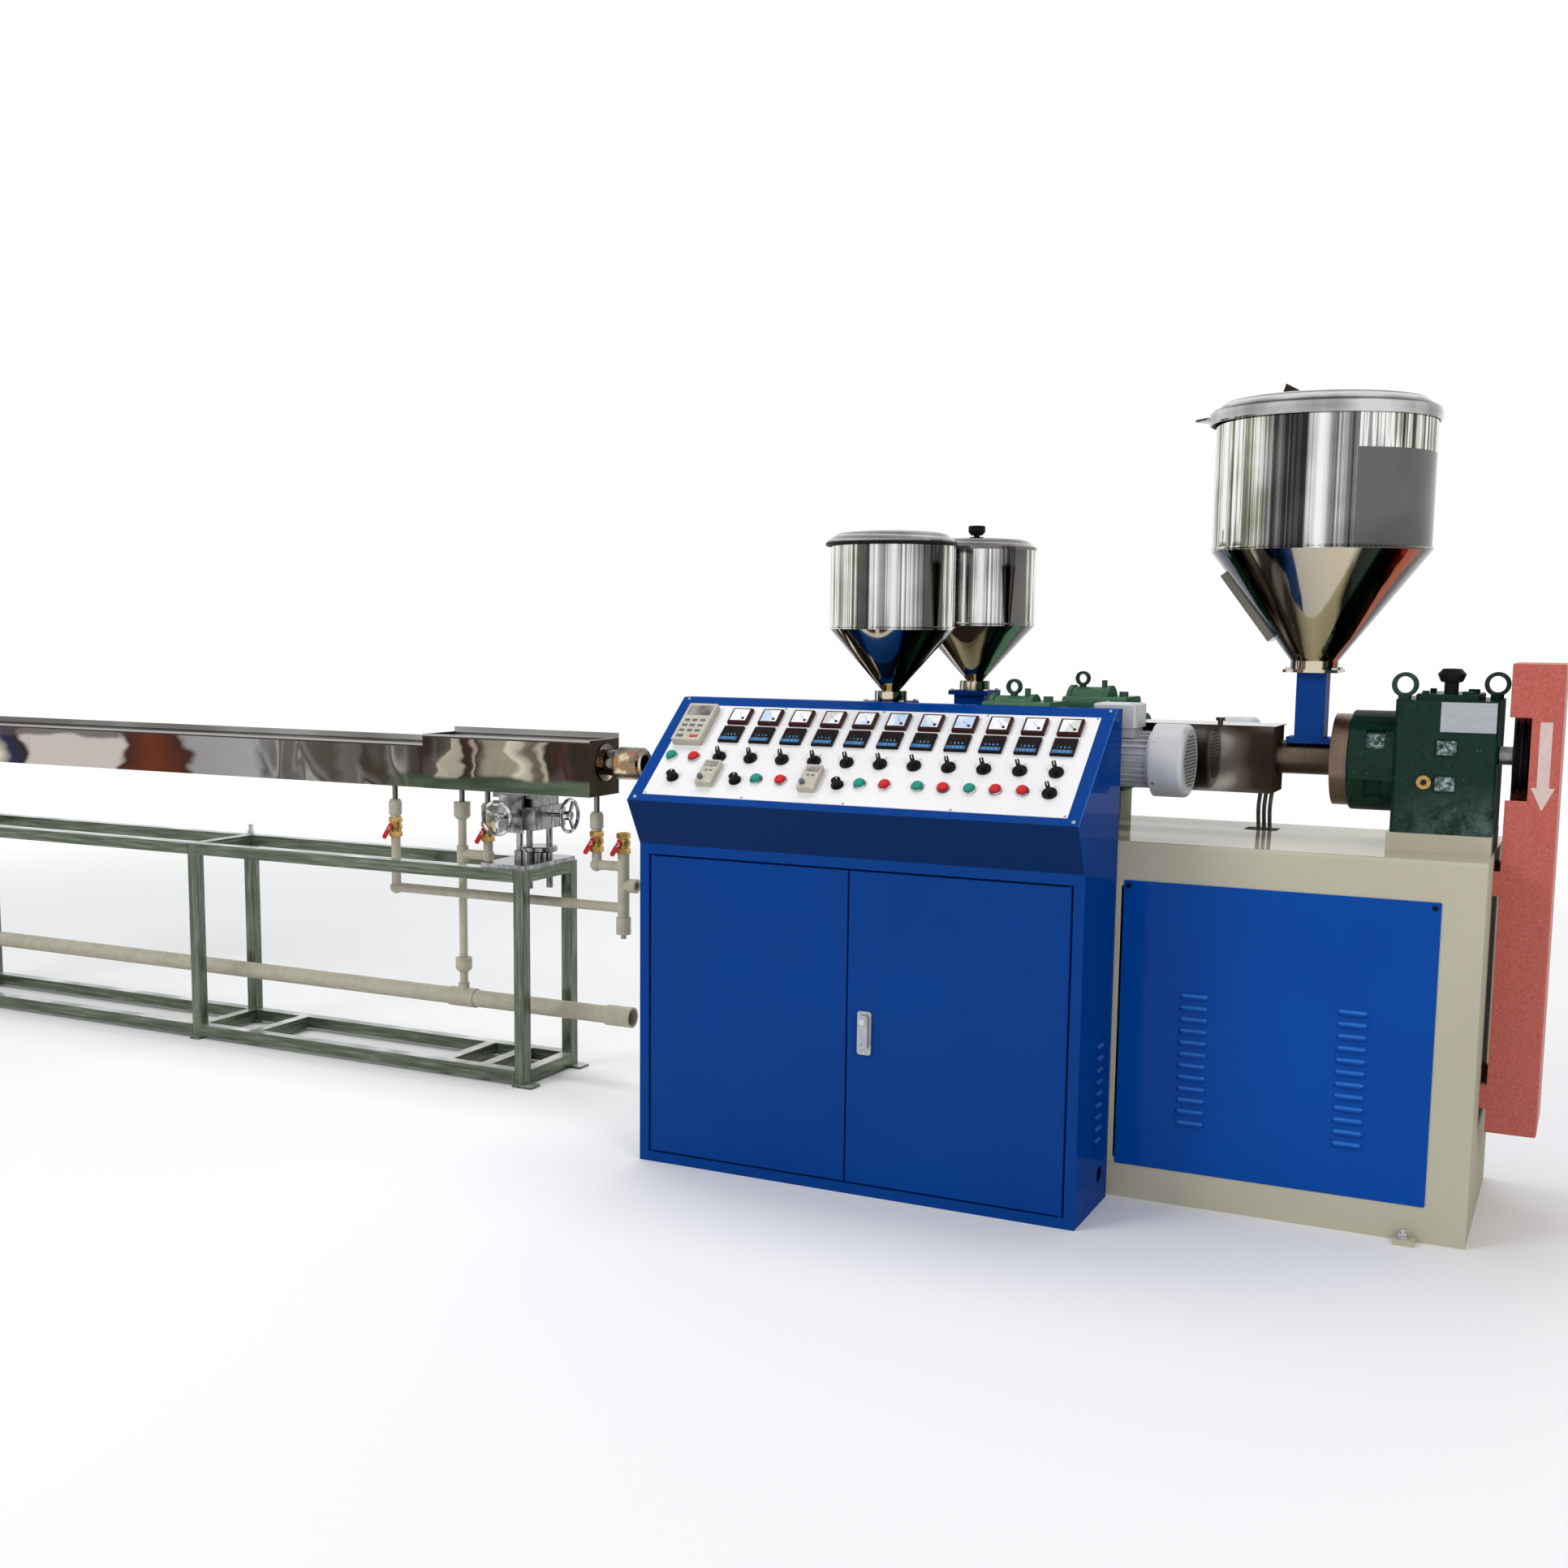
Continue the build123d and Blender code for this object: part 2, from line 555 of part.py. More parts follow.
parts["main_hopper"] = [drum_of(HOPPER_X, AXIS_Y, HOPPER_R, HOPPER_RIM, HOPPER_CYL)]
main_cone = cone_of(HOPPER_X, AXIS_Y, HOPPER_R, HOPPER_CYL, HOPPER_CONE, NECK_R)
neck = rod_z(HOPPER_SEAT, HOPPER_CONE, HOPPER_X, AXIS_Y, NECK_R)
main_cone = main_cone + (neck - rod_z(HOPPER_SEAT - 1, HOPPER_CONE + 1, HOPPER_X, AXIS_Y, NECK_R - SHEET))
pad = block(HOPPER_X - HOPPER_PLATE, HOPPER_X + HOPPER_PLATE, AXIS_Y - HOPPER_PLATE, AXIS_Y + HOPPER_PLATE,
            HOPPER_SEAT, HOPPER_SEAT + 8)
main_cone = main_cone + (pad - rod_z(HOPPER_SEAT - 1, HOPPER_SEAT + 9, HOPPER_X, AXIS_Y, FEED_R))
tilt = degrees(atan2(HOPPER_CYL - HOPPER_CONE, HOPPER_R - NECK_R))
mid_r = (HOPPER_R + NECK_R) / 2
mid_z = (HOPPER_CYL + HOPPER_CONE) / 2
port = Pos(HOPPER_X - mid_r - 4, AXIS_Y, mid_z) * Rot(0, tilt, 0) * Box(214, 86, 22)
core = turned([(0, HOPPER_CONE + 1), (NECK_R - 1, HOPPER_CONE + 1), (HOPPER_R - 1, HOPPER_CYL + 1),
               (0, HOPPER_CYL + 1)], HOPPER_X, AXIS_Y)
parts["main_hopper_cone"] = [main_cone + (port - core)]


# Lids: domed sheet with a rolled edge. The main one sits a little to the left, with a bent tab and
# a three-cornered grip.
lid_x = HOPPER_X - LID_SHIFT
rolled = [(0, 48), (120, 46), (LID_R - 75, 38), (LID_R - 44, 30), (LID_R - 44, 0), (LID_R - 5, 0), (LID_R - 5, -16),
          (LID_R, -16), (LID_R + 2, -12), (LID_R + 3, 0), (LID_R + 1, 12), (LID_R - 5, 18), (LID_R - 16, 20),
          (LID_R - 20, 22), (LID_R - 25, 31), (LID_R - 36, 39), (LID_R - 62, 44), (120, 52), (0, 54)]
main_lid = turned([(r, HOPPER_RIM + h) for r, h in rolled], lid_x, AXIS_Y)
tab = make_face(Polyline((lid_x - LID_R + 8, AXIS_Y - 62, 0), (lid_x - LID_R - 42, AXIS_Y - 6, 0),
                         (lid_x - LID_R - 42, AXIS_Y + 6, 0), (lid_x - LID_R + 8, AXIS_Y + 62, 0), close=True))
main_lid = main_lid + Pos(0, 0, HOPPER_RIM + 2) * extrude(tab, 6, dir=(0, 0, 1))
horn = make_face(Plane.XZ * Polyline((HOPPER_X - 116, HOPPER_RIM + 44), (HOPPER_X - 101, HOPPER_RIM + 90),
                                     (HOPPER_X - 24, HOPPER_RIM + 48), close=True))
horn = Pos(0, AXIS_Y, 0) * extrude(horn, 15, both=True)
main_lid = main_lid + horn
parts["main_hopper_lid"] = [main_lid]


def side_lid(x, y, r, rim):
    big = r + 6
    shape = [(0, 36), (big * 0.4, 34), (big * 0.78, 26), (r - 16, 18), (r - 16, 0), (big, 0), (big, 9),
             (big - 6, 12), (big * 0.86, 27), (big * 0.8, 31), (big * 0.4, 38), (0, 40)]
    return turned([(s, rim + h) for s, h in shape], x - 5, y)


# Polished heater cover round the barrel, with a knob on top and three conduits to the base.
cover_y0 = AXIS_Y - COVER_D / 2
cover_y1 = AXIS_Y + COVER_D / 2
cover_z0 = AXIS_Z - COVER_DOWN
cover_z1 = AXIS_Z + COVER_UP
cover = block(COVER_X0, COVER_X1, cover_y0, cover_y1, cover_z0, cover_z1)
cover = cover + block(COVER_X0 - COVER_LIP, COVER_X1 + COVER_LIP, cover_y0 - COVER_LIP,
                      cover_y1 + COVER_LIP, cover_z1 - SHEET, cover_z1)
cover = cover - block(COVER_X0 + SHEET, COVER_X1 - SHEET, cover_y0 + SHEET, cover_y1 - SHEET,
                      cover_z0 + SHEET, cover_z1 - SHEET)
cover = cover - rod_x(COVER_X0 - 1, COVER_X1 + 1, AXIS_Y, AXIS_Z, BARREL_R)
for x in (COVER_X1 - 154, COVER_X0 + 280):
    cover = cover + rod_z(cover_z1 - 1, cover_z1 + 8, x, AXIS_Y, 7)
    cover = cover + rod_z(cover_z1 + 7, cover_z1 + 16, x, AXIS_Y, 12)
conduits = []
for i in range(3):
    x = COVER_X1 - 22 - 15 * i
    y_top = cover_y1 - 16
    y_low = AXIS_Y + 142
    path = Spline((x, y_top, cover_z0), (x - 3, y_top + 6, cover_z0 - 30), (x - 14, y_low, plate_z - 40),
                  tangents=((0, 0, -1), (0, 0, -1)))
    ring = Plane(path @ 0, z_dir=path % 0) * Circle(5.5)
    conduits.append(sweep(ring, path=path))
parts["heater_conduits"] = conduits

# Input shaft with pulley, and the belt guard that stands over it on the base end.
pulley = turned_x([(PULLEY_X0, 0), (PULLEY_X0, PULLEY_R), (PULLEY_X0 + 5, PULLEY_R),
                   (PULLEY_X0 + 9, PULLEY_R - 14), (PULLEY_X0 + 13, PULLEY_R - 14), (PULLEY_X0 + 17, PULLEY_R),
                   (PULLEY_X0 + 21, PULLEY_R), (PULLEY_X0 + 25, PULLEY_R - 14), (PULLEY_X0 + 29, PULLEY_R - 14),
                   (PULLEY_X0 + 33, PULLEY_R), (PULLEY_X0 + PULLEY_W, PULLEY_R),
                   (PULLEY_X0 + PULLEY_W, 0)], AXIS_Y, SHAFT_Z)
pulley = pulley - rod_x(PULLEY_X0 - 1, PULLEY_X0 + PULLEY_W + 1, AXIS_Y, SHAFT_Z, SHAFT_R)
shaft = rod_x(GB_X1 - 38, PULLEY_X0 + PULLEY_W + 12, AXIS_Y, SHAFT_Z, SHAFT_R)
parts["drive_pulley"] = [pulley + shaft]
guard = block(GUARD_X0, GUARD_X1, GUARD_FRONT, GUARD_BACK, GUARD_Z0, GUARD_Z1)
guard = fillet(guard.faces().sort_by(Axis.X)[-1].edges(), 6)
guard = guard - block(GUARD_X0 - 1, GUARD_X1 - 3, GUARD_FRONT + 3, GUARD_BACK - 3, GUARD_Z0 + 3, GUARD_Z1 - 3)
guard = guard - block(GUARD_X0 - 1, PULLEY_X0 + PULLEY_W + 6, GUARD_FRONT - 1, GUARD_FRONT + 5,
                      SHAFT_Z - PULLEY_R - 6, SHAFT_Z + PULLEY_R + 6)
for y in (GUARD_FRONT, GUARD_BACK - 22):
    for z in (GUARD_Z0 + 60, plate_z - 90):
        guard = guard + block(BASE_X1, GUARD_X0 + 3, y, y + 22, z, z + 60)
parts["belt_guard"] = [guard]

# Side extruders, one in front of the barrel and one behind it, with all like pieces together.
shells = []
cones = []
lids = []
throats = []
side_barrels = []
side_covers = []
reducers = []
motors = []
cowls = []
for hx, y, hump, seat, cyl in zip(SIDE_X, SIDE_Y, HUMP_R, SIDE_SEAT, SIDE_CYL):
    shells.append(drum_of(hx, y, SIDE_HOPPER_R, SIDE_RIM, cyl))
    cone = cone_of(hx, y, SIDE_HOPPER_R, cyl, seat + COLLAR_H, SIDE_NECK_R)
    collar = rod_z(seat, seat + COLLAR_H, hx, y, COLLAR_R)
    collar = chamfer(collar.edges().sort_by(Axis.Z)[-1], 3)
    cones.append(cone + (collar - rod_z(seat - 1, seat + COLLAR_H + 1, hx, y, SIDE_FEED_R)))
    lids.append(side_lid(hx, y, SIDE_HOPPER_R, SIDE_RIM))
    feed = block(hx - SIDE_BLOCK, hx + SIDE_BLOCK, y - 48, y + 48, SIDE_Z - 48, seat)
    feed = feed + block(hx - SIDE_PLATE, hx + SIDE_PLATE, y - SIDE_PLATE, y + SIDE_PLATE, seat - SIDE_PLATE_T, seat)
    feed = feed - rod_x(hx - 50, hx + 50, y, SIDE_Z, SIDE_BARREL_R)
    throats.append(feed - rod_z(SIDE_Z + 40, seat + 1, hx, y, SIDE_FEED_R))
    side_barrels.append(rod_x(DIE_X0 + 60, hx + QUILL_X0, y, SIDE_Z, SIDE_BARREL_R))
    half = SIDE_COVER_W / 2
    box = block(SIDE_COVER_X0, hx - 110, y - half, y + half, SIDE_Z - 60, SIDE_Z + 60)
    box = fillet(box.edges().filter_by(Axis.X), 5)
    box = box - block(SIDE_COVER_X0 + SHEET, hx - 110 - SHEET, y - half + SHEET, y + half - SHEET,
                      SIDE_Z - 60 + SHEET, SIDE_Z + 60 - SHEET)
    side_covers.append(box - rod_x(SIDE_COVER_X0 - 1, hx - 109, y, SIDE_Z, SIDE_BARREL_R))
    case = rod_x(hx + QUILL_X0, hx + HOUSE_X0 + 5, y, SIDE_Z, QUILL_R)
    case = case + rod_x(hx + QUILL_X0, hx + QUILL_X0 + 20, y, SIDE_Z, QUILL_R + 18)
    house = block(hx + HOUSE_X0, hx + HOUSE_X1, y - HOUSE_W / 2, y + HOUSE_W / 2, HOUSE_Z0, HOUSE_Z1)
    case = case + fillet(house.edges().filter_by(Axis.X), 22)
    barrel_z = HOUSE_Z1 - 44
    case = case + rod_x(hx + HOUSE_X0 + 9, hx + HOUSE_X0 + 124, y, barrel_z, hump)
    for x in (hx + HOUSE_X0 + 3, hx + HOUSE_X0 + 112):
        case = case + rod_x(x, x + 12, y, barrel_z, hump + 5)
    case = case + rod_z(barrel_z, barrel_z + hump + 20, hx + HOUSE_X0 + 100, y, 8)
    case = case + rod_z(HOUSE_Z1 - 5, HOUSE_Z1 + 14, hx + HOUSE_X1 - 28, y, 13)
    case = case + rod_x(hx + HOUSE_X1, hx + MOTOR_X0, y, MOTOR_Z, 98)
    reducers.append(case)
    motor = rod_x(hx + MOTOR_X0, hx + MOTOR_X1, y, MOTOR_Z, MOTOR_R - 10)
    mid = (MOTOR_X0 + MOTOR_X1) / 2
    for n in range(24):
        fin = Pos(hx + mid + 5, y, MOTOR_Z) * Rot(n * 15, 0, 0) * Pos(0, 0, MOTOR_R - 8)
        motor = motor + fin * Box(MOTOR_X1 - MOTOR_X0 - 28, 3, 16)
    motor = motor + rod_x(hx + MOTOR_X0, hx + MOTOR_X0 + 18, y, MOTOR_Z, MOTOR_R + 6)
    motor = motor + rod_x(hx + MOTOR_X1 - 12, hx + MOTOR_X1, y, MOTOR_Z, MOTOR_R)
    neck = Pos(0, 0, BOX_LIFT + 4) * Box(100, 92, 26)
    lift = Pos(0, 0, BOX_LIFT + 17 + 31) * Box(116, 108, 62)
    lift = fillet(lift.edges().filter_by(Axis.Z), 10)
    lift = chamfer(lift.faces().sort_by(Axis.Z)[-1].edges(), 4)
    turn = Rot(-90, 0, 0) if y > AXIS_Y else Rot(0, 0, 0)
    motor = motor + Pos(hx + mid + 13, y, MOTOR_Z) * turn * (neck + lift)
    motors.append(motor)
    hood = rod_x(hx + MOTOR_X1, hx + COWL_X1, y, MOTOR_Z, COWL_R)
    hood = fillet(hood.faces().sort_by(Axis.X)[-1].edges(), 14)
    hollow = rod_x(hx + MOTOR_X1 - 24, hx + COWL_X1 - COWL_T, y, MOTOR_Z, COWL_R - COWL_T)
    hood = hood - fillet(hollow.faces().sort_by(Axis.X)[-1].edges(), 14 - COWL_T)
    back_ring = rod_x(hx + MOTOR_X1, hx + MOTOR_X1 + 3, y, MOTOR_Z, COWL_R)
    hood = hood + (back_ring - rod_x(hx + MOTOR_X1 - 1, hx + MOTOR_X1 + 4, y, MOTOR_Z, 40))
    cowls.append(hood)
parts["side_hoppers"] = shells
parts["side_hopper_cones"] = cones
parts["side_hopper_lids"] = lids
parts["feed_throats"] = [throat] + throats
parts["screw_barrels"] = [barrel] + side_barrels
parts["heater_covers"] = [cover] + side_covers
parts["side_reducers"] = reducers
parts["side_motors"] = motors
parts["side_fan_cowls"] = cowls
knob_x = SIDE_X[1] - 5
knob = rod_z(SIDE_RIM + 40, SIDE_RIM + 48, knob_x, SIDE_Y[1], 9)
ball = turned([(0, SIDE_RIM + 46), (17, SIDE_RIM + 46), (25, SIDE_RIM + 56), (25, SIDE_RIM + 72),
               (21, SIDE_RIM + 74), (0, SIDE_RIM + 74)], knob_x, SIDE_Y[1])
parts["lid_knob"] = [knob + ball]

# Die head: the three melt streams meet here and leave through one nozzle towards the trough.
die = rod_x(DIE_X0, DIE_X0 + DIE_L, AXIS_Y, AXIS_Z, 78)
die = chamfer(die.faces().sort_by(Axis.X)[0].edges(), 8)
die = die + rod_x(DIE_X0 - 70, DIE_X0, AXIS_Y, AXIS_Z, 46)
die = die + rod_x(DIE_X0 - 110, DIE_X0 - 70, AXIS_Y, AXIS_Z, 26)
for y, way in zip(SIDE_Y, (1, -1)):
    y_in = AXIS_Y - way * 60
    die = die + rod_y(min(y, y_in), max(y, y_in), DIE_X0 + 30, AXIS_Z - 2, 26)
    die = die + rod_x(DIE_X0, DIE_X0 + 60, y, SIDE_Z, 44)
parts["die_head"] = [die]

# Stand: posts on foot plates, long rails between them, cross members between front and back.
post_y0 = AXIS_Y - STAND_D / 2
post_y1 = AXIS_Y + STAND_D / 2
half = TUBE / 2
posts = []
for x in POST_X:
    for y0 in (post_y0, post_y1 - TUBE):
        top_z = STAND_H
        if x == POST_X[0]:
            top_z = TROUGH_Z
        tube = block(x - half, x + half, y0, y0 + TUBE, FOOT_T, top_z)
        tube = fillet(tube.edges().filter_by(Axis.Z), 3)
        out = 34 if x == POST_X[2] else 0
        near = y0 == post_y0
        foot = block(x - half, x + half + out, y0 - (14 if near else 0),
                     y0 + TUBE + (0 if near else 14), 0, FOOT_T)
        posts.append(tube + foot)
parts["stand_posts"] = posts
long_rails = []
for y0 in (post_y0, post_y1 - TUBE):
    for a, b in ((0, 1), (1, 2)):
        for z0 in (FOOT_T + 4, STAND_H - TUBE):
            long_rails.append(block(POST_X[a] + half, POST_X[b] - half, y0, y0 + TUBE, z0, z0 + TUBE))
parts["stand_rails"] = long_rails
crosses = []
cross_y = (post_y0 + TUBE, post_y1 - TUBE)
for x in POST_X:
    for z0 in (FOOT_T + 4, STAND_H - TUBE):
        crosses.append(block(x - half, x + half, cross_y[0], cross_y[1], z0, z0 + TUBE))
for x in (POST_END - 155, POST_END - 310, POST_X[1] + 250):
    crosses.append(block(x - half, x + half, cross_y[0], cross_y[1], FOOT_T + 4, FOOT_T + 4 + TUBE))
for x in (POST_X[0],):
    crosses.append(block(x - half, x + half, cross_y[0], cross_y[1], TROUGH_Z - TUBE, TROUGH_Z))
parts["stand_cross_members"] = crosses

# Trough: long open channel of folded polished sheet and a larger open head box with inlet hood.
ch_y0 = AXIS_Y - TROUGH_W / 2
ch_y1 = AXIS_Y + TROUGH_W / 2
ch_top = TROUGH_Z + TROUGH_H
channel = block(TROUGH_X0, BOX_X0, ch_y0, ch_y1, TROUGH_Z, ch_top)
channel = channel - block(TROUGH_X0 + 2, BOX_X0 + 1, ch_y0 + 2, ch_y1 - 2, TROUGH_Z + 2, ch_top + 1)
for y0, y1 in ((ch_y0 + 1, ch_y0 + LIP), (ch_y1 - LIP, ch_y1 - 1)):
    channel = channel + block(TROUGH_X0, BOX_X0, y0, y1, ch_top - 2, ch_top)
channel = channel + block(TROUGH_X0, BOX_X0, ch_y1 - 2, ch_y1, ch_top - 3, ch_top + BACK_UP)
channel = channel - rod_x(TROUGH_X0 - 5, TROUGH_X0 + 5, AXIS_Y, ch_top - 60, 30)
for x in (X_A,):
    channel = channel + rod_z(TROUGH_Z - NIPPLE_L, TROUGH_Z + 1, x, AXIS_Y, 9)
parts["trough_channel"] = [channel]
bx_y0 = AXIS_Y - BOX_W / 2
bx_y1 = AXIS_Y + BOX_W / 2
bx_top = TROUGH_Z + BOX_H
box = block(BOX_X0, BOX_X1, bx_y0, bx_y1, TROUGH_Z, bx_top)
box = box - block(BOX_X0 + 2, BOX_X1 - 2, bx_y0 + 2, bx_y1 - 2, TROUGH_Z + 2, bx_top + 1)
box = box - block(BOX_X0 - 1, BOX_X0 + 5, ch_y0 + 2, ch_y1 - 2, TROUGH_Z + 2, ch_top - 2)
rim = block(BOX_X0, BOX_X1, bx_y0, bx_y1, bx_top - 2, bx_top)
rim = rim - block(BOX_X0 + LIP, BOX_X1 - LIP, bx_y0 + LIP, bx_y1 - LIP, bx_top - 5, bx_top + 5)
box = box + rim + block(BOX_X0, BOX_X1, bx_y1 - 2, bx_y1, bx_top - 3, bx_top + BACK_UP)
for x, y in ((X_B, DRAIN_Y), (X_C, DRAIN_Y), (X_D, AXIS_Y)):
    box = box + rod_z(TROUGH_Z - NIPPLE_L, TROUGH_Z + 1, x, y, 9)
parts["trough_head_box"] = [box]
box = parts["trough_head_box"][0] - rod_x(BOX_X1 - 5, BOX_X1 + 5, AXIS_Y, INLET_Z, 30)
parts["trough_head_box"] = [box]
collar = turned_x([(BOX_X1, 30), (BOX_X1, 60), (BOX_X1 + 8, 60), (BOX_X1 + 8, 42), (INLET_X0, 42),
                   (INLET_X0, INLET_RING_R - 6), (INLET_X0 + 6, INLET_RING_R), (INLET_X1 - 6, INLET_RING_R),
                   (INLET_X1, INLET_RING_R - 6), (INLET_X1, 30)], AXIS_Y, INLET_Z)
parts["inlet_hood"] = [collar]

# Adjuster: plate with columns and screw on the stand, slide block under the head box, handwheels.
plate = block(PLATE_X0, PLATE_X1, post_y0 + 12, post_y1 - 12, STAND_H, STAND_H + PLATE_T)
plate = fillet(plate.edges().filter_by(Axis.Z), 6)
plate_z1 = STAND_H + PLATE_T
columns = ((PLATE_X0 + 105, AXIS_Y - 76, 0), (PLATE_X0 + 74, AXIS_Y + 28, 88), (PLATE_X0 + 118, AXIS_Y + 80, 88))
for x, y, below in columns:
    plate = plate + rod_z(STAND_H - below, SLIDE_Z0, x, y, COLUMN_R)
plate = plate + rod_z(plate_z1, plate_z1 + 40, columns[0][0], columns[0][1], COLUMN_R + 7)
nut_x = (columns[1][0] + columns[2][0]) / 2
nut_y = (columns[1][1] + columns[2][1]) / 2
nut = rod_z(plate_z1 + 22, plate_z1 + 40, nut_x, nut_y, 60)
plate = plate + chamfer(nut.edges(), 3)
plate = plate + rod_z(plate_z1, plate_z1 + 23, nut_x, nut_y, 24)
parts["adjuster_plate"] = [plate]
slide = block(SLIDE_X0, SLIDE_X1, AXIS_Y - 92, AXIS_Y + 92, SLIDE_Z0, TROUGH_Z - 44)
slide = slide + block(SLIDE_X0 + 12, SLIDE_X1 - 12, AXIS_Y - 70, AXIS_Y + 70, TROUGH_Z - 44, TROUGH_Z - 16)
slide = slide + block(SLIDE_X0, SLIDE_X1, AXIS_Y - 86, AXIS_Y + 86, TROUGH_Z - 16, TROUGH_Z)
slide = slide + block(WHEEL_X - 44, WHEEL_X + 44, AXIS_Y - 104, AXIS_Y - 92, SLIDE_Z0 - 10, TROUGH_Z - 6)
bore = PIN_CLEAR + 7
slide = slide - rod_y(AXIS_Y - 110, AXIS_Y - 52, WHEEL_X, WHEEL_Z, bore)
slide = slide - rod_x(SLIDE_X1 - 50, SLIDE_X1 + 6, AXIS_Y, WHEEL_Z, bore)
parts["slide_block"] = [slide]


def wheel():
    # A handwheel on the Z axis: rim, three dished spokes, hub and shaft going down.
    body = Torus(WHEEL_R, RIM_R) + Pos(0, 0, -6) * Cylinder(15, 24)
    for n in range(3):
        arm = Pos(0, 0, -2) * Rot(0, 0, 120 * n + 30) * Pos(WHEEL_R / 2, 0, 0) * Box(WHEEL_R - 4, 11, 7)
        body = body + arm
    return body


wheel_y = AXIS_Y - WHEEL_OUT
shaft_a = rod_y(wheel_y, AXIS_Y - 54, WHEEL_X, WHEEL_Z, 7)
parts["front_handwheel"] = [Pos(WHEEL_X, wheel_y, WHEEL_Z) * Rot(90, 0, 0) * wheel() + shaft_a]
shaft_b = rod_x(SLIDE_X1 - 48, END_WHEEL_X, AXIS_Y, WHEEL_Z, 7)
parts["end_handwheel"] = [Pos(END_WHEEL_X, AXIS_Y, WHEEL_Z) * Rot(0, 90, 0) * wheel() + shaft_b]

# Water pipes. The drain stands a little behind the supply; its run, riser and branch are glued
# together as separate lengths.
run = rod_x(TROUGH_X0 + 20, DRAIN_X1, DRAIN_Y, DRAIN_Z, DRAIN_R)
run = run + rod_x(DRAIN_X1 - SOCKET_L - 20, DRAIN_X1, DRAIN_Y, DRAIN_Z, DRAIN_R + 5)
run = run + rod_x(X_B - 52, X_B + 52, DRAIN_Y, DRAIN_Z, DRAIN_R + 4)
run = run - rod_x(DRAIN_X1 - SOCKET_L, DRAIN_X1 + 6, DRAIN_Y, DRAIN_Z, DRAIN_R)
stub_z = DRAIN_Z + 50
run = run + rod_z(DRAIN_Z, stub_z, X_B, DRAIN_Y, RISER_R + 5)
riser = rod_z(stub_z, TROUGH_Z - NIPPLE_L - 4, X_B, DRAIN_Y, RISER_R)
for z0, z1 in ((stub_z + 40, stub_z + 88), (TROUGH_Z - NIPPLE_L - 58, TROUGH_Z - NIPPLE_L)):
    sleeve = rod_z(z0, z1, X_B, DRAIN_Y, 2 * RISER_R)
    riser = riser + chamfer(sleeve.edges().sort_by(Axis.Z)[0], 9)
riser = riser + rod_z(BRANCH_Z - 28, BRANCH_Z + 28, X_B, DRAIN_Y, RISER_R + FITTING)
branch = rod_x(X_B, X_C, DRAIN_Y, BRANCH_Z, PIPE_R)
branch = branch - rod_z(BRANCH_Z - 28, BRANCH_Z + 28, X_B, DRAIN_Y, RISER_R + FITTING)
branch = branch + Pos(X_C, DRAIN_Y, BRANCH_Z) * Sphere(PIPE_R + FITTING)
branch = branch + rod_z(BRANCH_Z, VALVE_Z - VALVE_H, X_C, DRAIN_Y, PIPE_R)
parts["drain_pipes"] = [run, riser, branch]


def elbow(x, z):
    return Pos(x, AXIS_Y, z) * Sphere(PIPE_R + FITTING)


riser_z0 = SUPPLY_Z - 85
stub_z = SUPPLY_Z + 74
loop_z = VALVE_Z - 76
supply = rod_x(X_A, X_R, AXIS_Y, SUPPLY_Z, PIPE_R) + elbow(X_A, SUPPLY_Z)
supply = supply + rod_z(SUPPLY_Z, VALVE_Z - VALVE_H, X_A, AXIS_Y, PIPE_R)
supply = supply + rod_z(riser_z0, VALVE_Z - VALVE_H, X_R, AXIS_Y, PIPE_R + 3)
supply = supply + rod_z(riser_z0, riser_z0 + 55, X_R, AXIS_Y, PIPE_R + FITTING + 2)
supply = supply + rod_z(riser_z0 - 15, riser_z0 + 1, X_R, AXIS_Y, 9)
supply = supply + rod_x(X_R, X_R + 48, AXIS_Y, stub_z, INLET_R + 4)
supply = supply + rod_x(X_R + 26, X_R + 50, AXIS_Y, stub_z, INLET_R + 9)
supply = supply - rod_x(X_R + 8, X_R + 51, AXIS_Y, stub_z, INLET_R)
supply = supply + rod_x(X_D, X_R, AXIS_Y, loop_z, PIPE_R) + elbow(X_D, loop_z)
supply = supply + rod_z(loop_z, VALVE_Z - VALVE_H, X_D, AXIS_Y, PIPE_R)
unions = []
bodies = []
levers = []
for x, y in ((X_A, AXIS_Y), (X_C, DRAIN_Y), (X_D, AXIS_Y), (X_R, AXIS_Y)):
    brass = rod_z(VALVE_Z - VALVE_H, VALVE_Z + VALVE_H, x, y, VALVE_R)
    brass = brass + Pos(x, y, VALVE_Z) * Sphere(VALVE_R + 4)
    brass = brass + rod_y(y - 27, y, x, VALVE_Z, 10)
    brass = brass - rod_y(y - 28, y - 12, x, VALVE_Z, 5 + PIN_CLEAR)
    if x == X_R:
        brass = brass - rod_z(VALVE_Z + 20, VALVE_Z + VALVE_H + 1, x, y, 12)
    bodies.append(brass)
    if x != X_R:
        union = rod_z(VALVE_Z + VALVE_H, TROUGH_Z - NIPPLE_L, x, y, PIPE_R + 2)
        unions.append(union + rod_z(VALVE_Z + VALVE_H + 10, TROUGH_Z - NIPPLE_L - 7, x, y, PIPE_R + FITTING))
    stem = rod_y(y - 42, y - 13, x, VALVE_Z, 5)
    arm = block(-8, 8, -2, 2, -LEVER_L, LEVER_TOP)
    arm = fillet(arm.edges().filter_by(Axis.Y), 7)
    levers.append(stem + Pos(x, y - 35, VALVE_Z) * Rot(0, LEVER_TURN, 0) * arm)
parts["supply_pipes"] = [supply] + unions
parts["valve_bodies"] = bodies
for n, name in enumerate(("valve_lever_a", "valve_lever_c", "valve_lever_d", "valve_lever_r")):
    parts[name] = [levers[n]]

